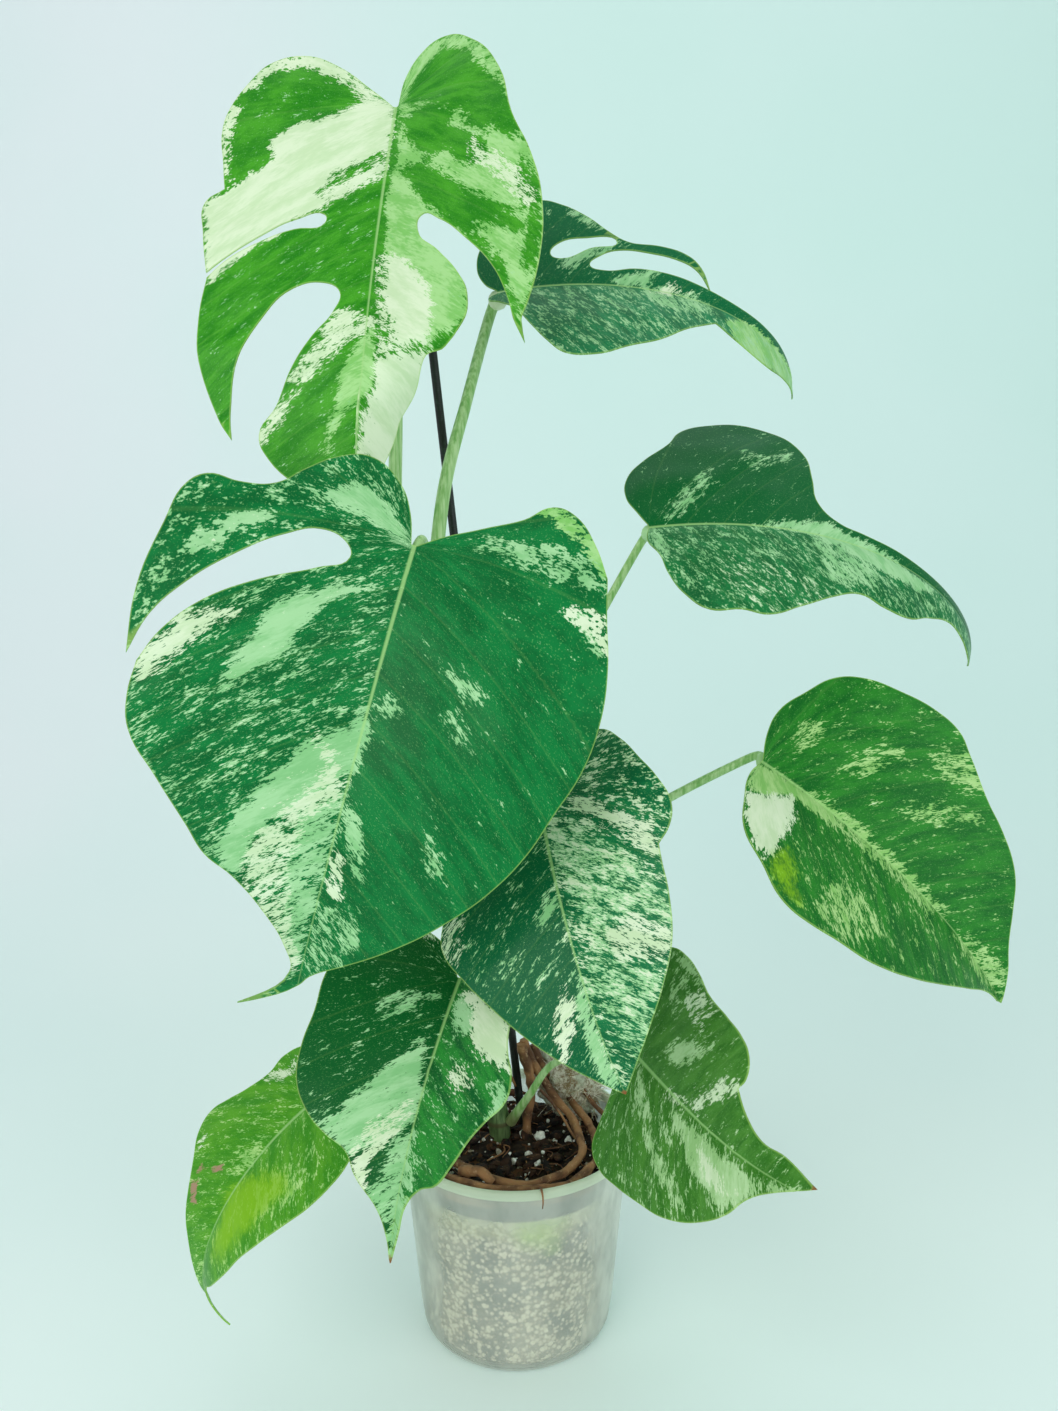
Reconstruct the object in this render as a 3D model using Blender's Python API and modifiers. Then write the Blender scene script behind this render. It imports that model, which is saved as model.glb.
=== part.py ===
# Potted variegated monstera: a clear nursery pot of potting mix, a black stake,
# one main stem, nine stalks and nine leaves.
# Metres, +Z up. The origin is the centre of the pot's underside.
import math
import random

import bmesh
import bpy
import numpy as np
from mathutils import Euler, Matrix, Vector, noise

CM = 0.01

# Driving dimensions.
GAP = 0.0004
POT_HEIGHT = 0.120
POT_TOP_RADIUS = 0.070
POT_BASE_RADIUS = 0.057
POT_WALL = 0.0012
LIP_HEIGHT = 0.0055
LIP_STEP = 0.0022
MIX_TOP = 0.100
MIX_LUMP = 0.002
TUFT_PLACE = (0.030, 0.038, 0.1245)
TUFT_HALF = (0.023, 0.012, 0.016)
TUFT_LEAN = math.radians(42)
STAKE_RADIUS = 0.0025
DRAIN_HOLES = 8
DRAIN_HOLE_RADIUS = 0.004
DRAIN_RING_RADIUS = 0.043
POT_FLOOR = 0.0016
POT_CORNER = 0.006
STAKE_FOOT = (0.0125, 0.026, 0.020)
STAKE_HEAD = (-0.0480, 0.040, 0.600)
STEM_ROUTE = [(-0.008, 0.010, 0.050), (-0.010, 0.011, 0.110), (-0.020, 0.011, 0.180),
              (-0.031, 0.009, 0.250), (-0.044, 0.006, 0.320), (-0.056, 0.003, 0.385)]
STEM_FOOT_RADIUS = 0.0075
STEM_HEAD_RADIUS = 0.0045
BLADE_THICKNESS = 0.0008
GRID_STEP = 0.024
STALK_POINTS = 11
STALK_FOOT_RADIUS = 0.0036
STALK_KNEE_RADIUS = 0.0024

# One leaf: where its stalk joins the blade, the way it faces, how it bends, its outline.
#   place          of the joint, centimetres
#   turn           heading, pitch and roll in degrees; the blade lies along its own +X
#   length         joint to tip, centimetres
#   arch, nod      droop spread along the midrib, and droop gathered at the tip
#   sweep          sideways turn of the midrib
#   fold, curl     rise of each half from the midrib, and its curl towards the margin (left, right)
#   tip_fold       what the fold becomes near the tip (left, right), over the stretch tip_span
#   left, right    the margin of each half from the joint to the tip, centimetres: along, across
#                  A third entry of 1 marks a sharp corner.
#   node           where the stalk leaves the stem: height in centimetres, side in degrees about Z,
#                  and 1 if it stands beside the stem or 0 if it goes on from the stem's end
#   stalk          the route of the stalk from there to the joint, centimetres
LEAVES = {
    "a": dict(
        place=(-5.91, 0.21, 69.11), turn=(-103, -64, 4), length=23.4, arch=7, nod=9, sweep=3,
        fold=(16, 16), curl=(-17, -9), tip_fold=(-60, 10), tip_span=(0.62, 0.76),
        left=[(0.0, 0.16, 1), (-1.8, 0.4), (-3.1, 1.3), (-3.6, 2.6), (-2.7, 4.3), (-0.1, 6.2),
              (3.0, 7.2), (5.6, 8.4), (8.4, 9.2), (11.6, 9.3), (13.8, 8.9), (15.2, 8.3, 1),
              (13.4, 7.8), (11.6, 6.9), (9.7, 5.3), (8.3, 3.8), (7.8, 2.7), (8.6, 2.6), (10.2, 4.0),
              (11.7, 5.2), (13.0, 5.8), (14.4, 5.6), (15.1, 4.5), (15.4, 3.2), (16.6, 2.6),
              (18.6, 2.2), (20.7, 1.3), (22.2, 0.5)],
        right=[(0.0, -0.16, 1), (-1.0, -1.4), (-2.5, -3.5), (-3.2, -5.5), (-2.7, -7.1), (-1.4, -8.1),
               (0.2, -8.9), (1.7, -9.1), (4.1, -8.6), (5.5, -8.3, 1), (6.3, -9.2), (8.2, -9.0),
               (10.4, -8.5, 1), (9.5, -7.5), (8.3, -5.9), (7.3, -4.2), (7.0, -2.8), (7.5, -2.7),
               (7.9, -4.2), (8.6, -5.8), (9.7, -7.5), (10.7, -8.4, 1), (13.0, -8.5), (15.7, -8.1),
               (17.9, -7.2), (19.0, -6.4, 1), (17.3, -6.6), (15.0, -6.2), (12.9, -5.2), (11.3, -3.9),
               (10.9, -2.5), (11.4, -1.5), (12.5, -1.7), (13.9, -2.6), (15.6, -3.5), (17.3, -4.2),
               (18.8, -5.0), (20.1, -4.4), (21.7, -2.5)],
        tip=(23.4, 0.0),
        node=(38.9, 0, 0.0), stalk=[(-6.4, 0.2, 46.5), (-6.3, 0.7, 54.0), (-6.1, 0.9, 62.0)]),
    "b": dict(
        place=(-4.3, -10.2, 46.3), turn=(-114, -57, -26), length=21.7, arch=42, nod=11, sweep=-5,
        fold=(9, 13), curl=(-13, -5), tip_fold=(9, 13), tip_span=(0.6, 1.0),
        left=[(0.0, 0.15, 1), (-0.7, 1.3), (-1.5, 3.0), (-2.4, 4.6), (-3.4, 5.8), (-3.2, 6.9),
              (-2.0, 8.1), (-0.4, 9.0, 1), (1.3, 9.3), (3.8, 9.9), (6.4, 10.1), (8.5, 9.8),
              (10.4, 9.1), (12.3, 8.4), (14.2, 7.3), (15.9, 5.9), (17.9, 3.9), (19.6, 1.8),
              (20.8, 0.5), (21.7, 0.0)],
        right=[(0.0, -0.15, 1), (-1.5, -0.6), (-2.9, -1.5), (-3.7, -3.0), (-3.0, -4.6), (-1.9, -5.7),
               (-0.7, -6.7), (-0.2, -8.2), (-0.1, -9.6), (0.6, -10.3), (2.6, -10.6), (5.5, -10.8),
               (8.3, -10.4, 1), (6.4, -9.9), (4.8, -8.9), (3.0, -7.3), (1.5, -5.6), (0.7, -4.2),
               (0.9, -3.0), (1.6, -2.6), (2.5, -3.8), (3.8, -6.0), (5.3, -8.0), (7.0, -9.3),
               (8.5, -9.9, 1), (9.9, -9.9), (11.3, -9.5), (13.0, -7.9), (14.6, -6.3), (15.8, -5.2),
               (16.5, -3.9), (17.9, -2.2), (19.4, -1.0), (20.9, -0.5)],
        tip=(23.6, -2.6), node=(30.5, -90, 1.0), stalk=[(-4.2, -1.6, 35.0), (-4.2, -4.4, 41.0)]),
    "c": dict(
        place=(-0.85, 5.6, 61.0), turn=(-13, 7, 42), length=20.0, arch=42, nod=45, sweep=-15,
        fold=(16, 8), curl=(-3, -15), tip_fold=(-10, 8), tip_span=(0.55, 1.0),
        left=[(0.0, 0.15, 1), (-0.8, 0.9), (-1.3, 2.6), (-0.8, 4.6), (0.5, 6.3), (2.2, 7.2),
              (3.6, 6.6), (5.0, 5.5), (6.4, 4.1), (7.5, 3.5), (9.3, 3.5), (10.6, 3.2), (11.6, 2.4),
              (12.4, 1.0, 1), (11.3, 2.2), (10.0, 2.7), (8.6, 2.8), (7.2, 2.8), (6.0, 2.3),
              (5.4, 1.5), (6.2, 1.1), (8.0, 1.4), (10.0, 1.4), (12.0, 1.1), (14.0, 0.9), (16.2, 0.9),
              (18.0, 0.8), (19.3, 0.4)],
        right=[(0.0, -0.15, 1), (-0.4, -0.8), (0.3, -1.4), (1.3, -2.5), (2.4, -4.4), (3.6, -6.4),
               (4.8, -7.5), (6.3, -7.5), (8.0, -6.7), (9.9, -5.3), (11.5, -3.5), (13.0, -1.9, 1),
               (14.4, -2.6), (16.4, -2.9), (18.4, -1.7), (19.8, -0.8)],
        tip=(20.8, -0.3), hole=[(3.1, 2.5), (3.6, 3.4), (5.1, 3.7), (6.8, 3.4), (5.3, 2.8), (3.8, 2.1)],
        node=(34.5, 60, 1.0), stalk=[(-4.6, 1.25, 41.5), (-3.9, 1.7, 49.0), (-2.6, 3.4, 54.5)]),
    "d": dict(
        place=(7.8, 2.0, 47.3), turn=(-13, 6, 38), length=20.5, arch=42, nod=30, sweep=-24,
        fold=(8, 8), curl=(-15, -15), tip_fold=(-20, 8), tip_span=(0.55, 1.0),
        left=[(0.0, 0.15, 1), (-0.7, 1.4), (-1.4, 2.9), (-1.4, 4.9), (-0.5, 6.5), (0.9, 7.9),
              (1.7, 9.7), (3.5, 10.4), (5.5, 10.3), (7.2, 9.1), (8.5, 7.2), (9.0, 4.6), (9.4, 2.6),
              (10.6, 1.3), (12.0, 1.0), (14.0, 0.9), (16.0, 0.8), (18.0, 0.8), (20.0, 0.8), (21.4, 0.6)],
        right=[(0.0, -0.15, 1), (0.0, -1.4), (0.7, -2.8), (1.3, -4.8), (2.2, -6.5), (3.5, -7.6),
               (5.2, -7.5), (6.7, -7.7), (8.6, -6.6), (10.4, -5.3), (12.0, -4.4), (13.6, -4.6),
               (15.2, -4.3), (16.8, -2.8), (18.4, -1.6), (20.0, -1.2), (21.6, -0.9)],
        tip=(23.0, -0.2), node=(25.5, 15, 1.0), stalk=[(-0.8, 1.4, 31.0), (3.2, 1.2, 39.0)]),
    "e": dict(
        place=(13.55, -2.7, 34.6), turn=(-22, -31, 38), length=18.8, arch=32, nod=10, sweep=-4,
        fold=(21, 21), curl=(-5, -8), tip_fold=(21, 21), tip_span=(0.6, 1.0),
        left=[(0.0, 0.15, 1), (-0.6, 1.5), (-0.8, 3.0), (-0.2, 4.8), (0.6, 6.5), (1.9, 7.5),
              (3.7, 8.1), (5.6, 8.5), (7.2, 8.4), (8.4, 7.7), (10.3, 6.6), (12.1, 5.9), (13.8, 4.9),
              (15.2, 3.5), (16.4, 2.1), (17.7, 1.2)],
        right=[(0.0, -0.15, 1), (-0.1, -1.6), (0.4, -3.6), (1.3, -5.7), (3.0, -7.2), (4.5, -8.2),
               (6.0, -8.3), (7.7, -7.8), (9.9, -7.1), (12.0, -5.7), (13.7, -4.2), (15.4, -2.6),
               (17.2, -0.9)],
        tip=(19.0, 0.1), node=(19.0, -10, 1.0), stalk=[(1.0, -0.2, 24.0), (5.2, -0.8, 29.8)]),
    "f": dict(
        place=(1.4, -7.8, 33.9), turn=(-82, -39, 32), length=14.8, arch=35, nod=17, sweep=0,
        fold=(12, 9), curl=(-12, -14), tip_fold=(12, 9), tip_span=(0.6, 1.0),
        left=[(0.0, 0.15, 1), (-1.2, 1.0), (-2.2, 2.5), (-2.1, 4.0), (-0.9, 5.0), (0.6, 5.7),
              (2.0, 6.3), (3.4, 6.6), (4.5, 6.2), (5.1, 5.5, 1), (5.9, 5.4), (7.2, 5.3), (9.1, 4.8),
              (10.7, 3.8), (12.3, 2.4), (13.8, 1.0)],
        right=[(0.0, -0.15, 1), (-1.2, -0.9), (-2.2, -2.2), (-2.0, -3.9), (-0.8, -5.2), (0.9, -6.0),
               (2.6, -5.9), (4.0, -5.4, 1), (5.2, -6.1), (6.2, -6.3), (7.9, -5.5), (9.0, -4.8),
               (10.9, -3.5), (12.6, -2.1), (14.1, -0.7)],
        tip=(14.9, 0.0), node=(16.5, -70, 1.0), stalk=[(-1.2, -1.6, 22.0), (0.4, -4.0, 28.0)]),
    "g": dict(
        place=(-2.6, -8.5, 24.75), turn=(-111, -36, 6), length=13.0, arch=18, nod=13, sweep=3,
        fold=(22, 23), curl=(-10, -1), tip_fold=(22, 23), tip_span=(0.6, 1.0),
        left=[(0.0, 0.15, 1), (-0.9, 0.9), (-1.5, 2.2), (-1.0, 3.6), (0.4, 4.4), (1.9, 4.5),
              (3.2, 4.5), (4.2, 4.8), (5.2, 5.3), (6.3, 5.3), (7.2, 4.5), (8.0, 3.8), (9.1, 3.1),
              (9.9, 2.4), (10.2, 1.3), (10.9, 0.6), (12.0, 0.4)],
        right=[(0.0, -0.15, 1), (-0.9, -0.8), (-1.8, -2.0), (-1.9, -3.8), (-0.8, -5.5), (0.6, -6.3),
               (1.9, -6.5), (3.6, -6.3), (5.1, -6.3), (6.6, -6.0), (7.8, -5.1), (8.6, -3.9),
               (9.1, -2.8), (10.0, -2.1), (11.2, -0.8), (12.2, -0.25)],
        tip=(13.2, 0.0), node=(13.2, -125, 1.0), stalk=[(-2.6, -2.2, 18.4), (-2.8, -5.2, 22.8)]),
    "h": dict(
        place=(-10.7, -5.35, 16.6), turn=(-145, -25, -7), length=12.0, arch=51, nod=30, sweep=1,
        fold=(6, 8), curl=(-17, -11), tip_fold=(6, 8), tip_span=(0.6, 1.0),
        left=[(0.0, 0.15, 1), (-1.0, 1.1), (-1.5, 2.6), (-0.6, 4.0), (0.9, 4.9), (2.2, 5.2),
              (3.6, 5.1), (5.0, 4.6), (6.7, 3.8), (8.0, 3.0), (9.3, 2.3), (10.5, 1.4), (11.4, 0.5),
              (12.3, 0.5)],
        right=[(0.0, -0.15, 1), (-1.1, -1.0), (-1.8, -2.5), (-1.3, -4.0), (-0.2, -4.3), (1.0, -3.9),
               (2.3, -4.2), (3.6, -4.9), (4.4, -5.3), (5.5, -5.1), (6.7, -4.1), (7.8, -3.3),
               (8.9, -2.5), (9.9, -1.6), (11.0, -0.8), (12.3, 0.0)],
        tip=(13.6, 1.4), node=(12.0, 190, 1.0), stalk=[(-4.0, 0.0, 15.8), (-7.0, -2.4, 17.4)]),
    "i": dict(
        place=(6.65, -6.5, 19.4), turn=(-65, -8, 61), length=13.3, arch=-5, nod=12, sweep=20,
        fold=(18, 6), curl=(-14, -14), tip_fold=(6, 5), tip_span=(0.55, 1.0),
        left=[(0.0, 0.15, 1), (-1.2, 1.2), (-2.0, 2.8), (-1.9, 4.8), (-0.8, 6.1), (0.5, 6.3),
              (1.9, 6.0), (3.4, 5.5), (5.4, 5.2), (6.8, 4.9), (7.8, 4.3), (8.1, 3.3), (7.8, 2.7, 1),
              (8.8, 1.8), (10.0, 1.2), (11.5, 1.1)],
        right=[(0.0, -0.15, 1), (-0.6, -1.2), (-0.3, -2.6), (-0.1, -4.2), (0.3, -5.4), (1.4, -5.8),
               (2.9, -5.6), (4.6, -5.2), (6.8, -4.5), (8.4, -3.5), (9.5, -2.5), (10.2, -1.4),
               (11.4, -0.5)],
        tip=(13.4, 0.4), node=(11.7, -25, 1.0),
        stalk=[(0.87, -0.4, 14.1), (2.22, -1.4, 16.5), (4.6, -3.6, 18.3)]),
}


def material(name, colour, roughness, metallic=0.0):
    finish = bpy.data.materials.new(name)
    finish.use_nodes = True
    shader = finish.node_tree.nodes["Principled BSDF"]
    shader.inputs["Base Color"].default_value = (*colour, 1.0)
    shader.inputs["Roughness"].default_value = roughness
    shader.inputs["Metallic"].default_value = metallic
    return finish


def add_object(name, mesh, finish, group):
    piece = bpy.data.objects.new(name, mesh)
    piece.data.materials.clear()
    piece.data.materials.append(finish)
    group.objects.link(piece)
    return piece


def evaluated_mesh(piece):
    graph = bpy.context.evaluated_depsgraph_get()
    return bpy.data.meshes.new_from_object(piece.evaluated_get(graph))


def smooth_route(points, count):
    """Evenly numbered points on a smooth curve through the route's own points."""
    route = [Vector(p) for p in points]
    route = [2 * route[0] - route[1]] + route + [2 * route[-1] - route[-2]]
    spans = len(route) - 3
    result = []
    for step in range(count):
        at = min(step / (count - 1) * spans, spans - 1e-6)
        i = int(at)
        t = at - i
        a, b, c, d = route[i:i + 4]
        result.append(0.5 * (2 * b + (c - a) * t + (2 * a - 5 * b + 4 * c - d) * t * t
                             + (3 * b - a - 3 * c + d) * t ** 3))
    return result


def tube(name, points, radii, finish, group, sides=2):
    """A round bar along the points, with filled ends, as a mesh."""
    curve = bpy.data.curves.new(name, "CURVE")
    curve.dimensions = "3D"
    curve.bevel_depth = 1.0
    curve.bevel_resolution = sides
    curve.use_fill_caps = True
    spline = curve.splines.new("POLY")
    spline.points.add(len(points) - 1)
    for control, place, radius in zip(spline.points, points, radii):
        control.co = (*place, 1.0)
        control.radius = radius
    holder = bpy.data.objects.new(name + "_route", curve)
    group.objects.link(holder)
    mesh = evaluated_mesh(holder)
    bpy.data.objects.remove(holder)
    sheet = bmesh.new()
    sheet.from_mesh(mesh)
    bmesh.ops.remove_doubles(sheet, verts=sheet.verts, dist=0.00002)
    bmesh.ops.recalc_face_normals(sheet, faces=sheet.faces)
    sheet.to_mesh(mesh)
    sheet.free()
    mesh.shade_smooth()
    mesh.set_sharp_from_angle(angle=math.radians(50))
    return add_object(name, mesh, finish, group)


def turned(name, profile, steps, finish, group):
    """A profile in the XZ plane, from the axis back to the axis, turned about Z."""
    mesh = bpy.data.meshes.new(name)
    mesh.from_pydata([(r, 0.0, z) for r, z in profile], [(i, i + 1) for i in range(len(profile) - 1)], [])
    piece = add_object(name, mesh, finish, group)
    screw = piece.modifiers.new("turn", "SCREW")
    screw.steps = steps
    screw.render_steps = steps
    screw.use_merge_vertices = True
    screw.merge_threshold = 0.00001
    return piece


def cutter(name, mesh, group):
    piece = bpy.data.objects.new(name, mesh)
    group.objects.link(piece)
    piece.display_type = "WIRE"
    piece.hide_render = True
    return piece


def cut(piece, tool):
    boolean = piece.modifiers.new("cut " + tool.name, "BOOLEAN")
    boolean.operation = "DIFFERENCE"
    boolean.solver = "EXACT"
    boolean.object = tool


def cylinder_mesh(name, radius, start, end, sides):
    """A closed cylinder between two points."""
    axis = Vector(end) - Vector(start)
    shape = bmesh.new()
    bmesh.ops.create_cone(shape, cap_ends=True, segments=sides, radius1=radius, radius2=radius,
                          depth=axis.length)
    turn = Vector((0, 0, 1)).rotation_difference(axis).to_matrix().to_4x4()
    bmesh.ops.transform(shape, matrix=turn, verts=shape.verts)
    bmesh.ops.translate(shape, vec=(Vector(start) + Vector(end)) / 2, verts=shape.verts)
    mesh = bpy.data.meshes.new(name)
    shape.to_mesh(mesh)
    shape.free()
    return mesh


# Leaves ---------------------------------------------------------------------

def eased(start, end, value):
    t = np.clip((value - start) / (end - start), 0.0, 1.0)
    return t * t * (3.0 - 2.0 * t)


def bent(points, leaf):
    """Carry points of the flat leaf (metres: along, across, up) to where the grown leaf has them."""
    length = leaf["length"] * CM
    along, across, up = points.T

    def course(u):
        droop = np.radians(leaf["arch"] * u + leaf["nod"] * np.clip(u, 0, None) ** 5)
        swing = np.radians(leaf["sweep"] * np.clip(u, 0, None) ** 2)
        forward = np.stack([np.cos(droop) * np.cos(swing), np.cos(droop) * np.sin(swing), -np.sin(droop)], 1)
        left = np.stack([-np.sin(swing), np.cos(swing), 0 * swing], 1)
        return forward, left

    walk = np.linspace(-0.45, 1.35, 361)
    forward, left = course(walk)
    stride = (walk[1] - walk[0]) * length
    midrib = np.vstack([np.zeros(3), np.cumsum((forward[1:] + forward[:-1]) / 2 * stride, axis=0)])
    u = along / length
    origin = np.array([np.interp(0.0, walk, midrib[:, k]) for k in range(3)])
    spine = np.stack([np.interp(u, walk, midrib[:, k]) for k in range(3)], 1) - origin
    forward, left = course(u)
    normal = np.cross(forward, left)

    is_left = across >= 0
    near_tip = eased(*leaf["tip_span"], u)
    fold = np.where(is_left, leaf["fold"][0], leaf["fold"][1])
    tip_fold = np.where(is_left, leaf["tip_fold"][0], leaf["tip_fold"][1])
    fold = np.radians(fold + (tip_fold - fold) * near_tip)
    curl = np.radians(np.where(is_left, leaf["curl"][0], leaf["curl"][1]))
    reach = 0.45 * length
    slope = fold + curl * np.abs(across) / reach
    side = np.where(is_left, 1.0, -1.0)
    out = side * reach / curl * (np.sin(slope) - np.sin(fold))
    rise = -reach / curl * (np.cos(slope) - np.cos(fold))
    out -= side * up * np.sin(slope)
    rise += up * np.cos(slope)
    local = spine + left * out[:, None] + normal * rise[:, None]

    heading, pitch, roll = (math.radians(angle) for angle in leaf["turn"])
    frame = np.array(Euler((roll, -pitch, heading), "XYZ").to_matrix())
    return np.array(leaf["place"]) * CM + local @ frame.T


def flat_outline(name, loop, group, resolution=2):
    """The filled flat outline as a single face, read from a smooth closed curve."""
    curve = bpy.data.curves.new(name, "CURVE")
    curve.dimensions = "2D"
    curve.fill_mode = "NONE"
    curve.resolution_u = resolution
    spline = curve.splines.new("BEZIER")
    spline.bezier_points.add(len(loop) - 1)
    spline.use_cyclic_u = True
    for control, (x, y, *corner) in zip(spline.bezier_points, loop):
        control.co = (x * CM, y * CM, 0.0)
        kind = "VECTOR" if corner else "AUTO"
        control.handle_left_type = kind
        control.handle_right_type = kind
    holder = bpy.data.objects.new(name, curve)
    group.objects.link(holder)
    edge = evaluated_mesh(holder)
    bpy.data.objects.remove(holder)
    sheet = bmesh.new()
    sheet.from_mesh(edge)
    sheet.verts.ensure_lookup_table()
    face = sheet.faces.new(sheet.verts)
    face.normal_update()
    if face.normal.z < 0:
        face.normal_flip()
    return sheet


def thicken(sheet, thickness):
    """Raise the flat sheet's faces into a closed plate centred on z = 0."""
    for vertex in sheet.verts:
        vertex.co.z = thickness / 2
    grown = bmesh.ops.extrude_face_region(sheet, geom=sheet.faces[:])
    for item in grown["geom"]:
        if isinstance(item, bmesh.types.BMVert):
            item.co.z = -thickness / 2
    bmesh.ops.recalc_face_normals(sheet, faces=sheet.faces)
    if sheet.calc_volume(signed=True) < 0:
        bmesh.ops.reverse_faces(sheet, faces=sheet.faces)


def blade(name, leaf, finish, group, cutters):
    loop = leaf["left"] + [(*leaf["tip"], 1)] + leaf["right"][::-1]
    sheet = flat_outline(name + "_edge", loop, group)
    reach = leaf["length"] * CM
    lines = [((0.0, 0.0, 0.0), (0.0, 1.0, 0.0))]
    for step in range(-2, int(1.2 * reach / GRID_STEP) + 1):
        lines.append(((step * GRID_STEP + 0.5 * CM, 0.0, 0.0), (1.0, 0.0, 0.0)))
    for step in range(1, int(0.6 * reach / GRID_STEP) + 1):
        lines.append(((0.0, step * GRID_STEP, 0.0), (0.0, 1.0, 0.0)))
        lines.append(((0.0, -step * GRID_STEP, 0.0), (0.0, 1.0, 0.0)))
    for place, normal in lines:
        bmesh.ops.bisect_plane(sheet, geom=sheet.verts[:] + sheet.edges[:] + sheet.faces[:],
                               plane_co=place, plane_no=normal, dist=0.00002)
    bmesh.ops.remove_doubles(sheet, verts=sheet.verts, dist=0.0003)
    thicken(sheet, BLADE_THICKNESS)
    mesh = bpy.data.meshes.new(name)
    sheet.to_mesh(mesh)
    sheet.free()
    piece = add_object(name, mesh, finish, group)
    if "hole" in leaf:
        opening = flat_outline(name + "_opening", leaf["hole"], group)
        thicken(opening, 20 * BLADE_THICKNESS)
        plug = bpy.data.meshes.new(name + "_opening")
        opening.to_mesh(plug)
        opening.free()
        cut(piece, cutter(name + "_opening", plug, cutters))
        piece.data = evaluated_mesh(piece)
        piece.modifiers.clear()
        bpy.data.objects.remove(cutters.objects[name + "_opening"])
    flat = np.array([vertex.co[:] for vertex in piece.data.vertices])
    for vertex, place in zip(piece.data.vertices, bent(flat, leaf)):
        vertex.co = place
    piece.data.shade_smooth()
    piece.data.set_sharp_from_angle(angle=math.radians(50))
    return piece


def stem_at(height):
    """Centre and radius of the main stem at a height."""
    points = smooth_route(STEM_ROUTE, 41)
    heights = [point.z for point in points]
    centre = [float(np.interp(height, heights, [point[k] for point in points])) for k in range(2)]
    share = min((height - heights[0]) / (heights[-1] - heights[0]), 1.0)
    return Vector((*centre, height)), STEM_FOOT_RADIUS + (STEM_HEAD_RADIUS - STEM_FOOT_RADIUS) * share


def stalk(name, leaf, finish, group):
    """The leaf stalk, from beside the stem to just under the blade's joint."""
    height, side, beside = leaf["node"]
    centre, stem_radius = stem_at(height * CM)
    away = beside * (stem_radius + STALK_FOOT_RADIUS + 3 * GAP)
    foot = centre + away * Vector((math.cos(math.radians(side)), math.sin(math.radians(side)), 0.0))
    under = -(STALK_KNEE_RADIUS + BLADE_THICKNESS / 2 + 2 * GAP)
    approach, end = bent(np.array([[-0.9 * CM, 0.0, -1.5 * CM], [0.15 * CM, 0.0, under]]), leaf)
    route = [foot] + [Vector(place) * CM for place in leaf["stalk"]] + [Vector(approach), Vector(end)]
    points = smooth_route(route, STALK_POINTS)
    shrink = STALK_KNEE_RADIUS - STALK_FOOT_RADIUS
    shares = [min(1.0, 1.6 * step / (STALK_POINTS - 1)) for step in range(STALK_POINTS)]
    radii = [STALK_FOOT_RADIUS + shrink * share for share in shares]
    return tube(name, points, radii, finish, group)


# Pot and what is in it --------------------------------------------------------

def pot_radius(z):
    """Outer radius of the pot's wall at a height."""
    return POT_BASE_RADIUS + (POT_TOP_RADIUS - LIP_STEP - POT_BASE_RADIUS) * z / POT_HEIGHT


def make_pot(finish, group, cutters):
    corner = POT_CORNER
    floor = POT_FLOOR
    profile = [(0.0, floor), (POT_BASE_RADIUS - corner, floor)]
    for step in range(1, 4):
        turn = math.radians(30 * step)
        profile.append((POT_BASE_RADIUS - corner + (corner - POT_WALL) * math.sin(turn),
                        corner - (corner - floor) * math.cos(turn)))
    top_inner = pot_radius(POT_HEIGHT) - POT_WALL
    profile.append((top_inner, POT_HEIGHT - 0.0012))
    profile.append((top_inner + 0.0010, POT_HEIGHT))
    profile.append((POT_TOP_RADIUS - 0.0012, POT_HEIGHT))
    profile.append((POT_TOP_RADIUS, POT_HEIGHT - 0.0014))
    profile.append((POT_TOP_RADIUS, POT_HEIGHT - LIP_HEIGHT + 0.0010))
    profile.append((POT_TOP_RADIUS - 0.0008, POT_HEIGHT - LIP_HEIGHT))
    profile.append((pot_radius(POT_HEIGHT - LIP_HEIGHT), POT_HEIGHT - LIP_HEIGHT))
    profile.append((pot_radius(corner), corner))
    for step in range(1, 4):
        turn = math.radians(90 - 30 * step)
        profile.append((POT_BASE_RADIUS - corner * (1 - math.sin(turn)), corner * (1 - math.cos(turn))))
    profile.append((0.0, 0.0))
    piece = turned("pot", profile, 48, finish, group)
    for number in range(DRAIN_HOLES):
        turn = 2 * math.pi * (number + 0.5) / DRAIN_HOLES
        place = (DRAIN_RING_RADIUS * math.cos(turn), DRAIN_RING_RADIUS * math.sin(turn))
        mesh = cylinder_mesh("drain_hole", DRAIN_HOLE_RADIUS, (*place, -floor), (*place, 2 * floor), 12)
        cut(piece, cutter(f"drain_hole_{number + 1}", mesh, cutters))
    return piece


def mix_height(x, y):
    """Height of the potting mix's lumpy top."""
    lump = noise.noise(Vector((x, y, 0.0)) * 70.0) + 0.5 * noise.noise(Vector((x, y, 0.3)) * 160.0)
    return MIX_TOP + MIX_LUMP * lump


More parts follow.
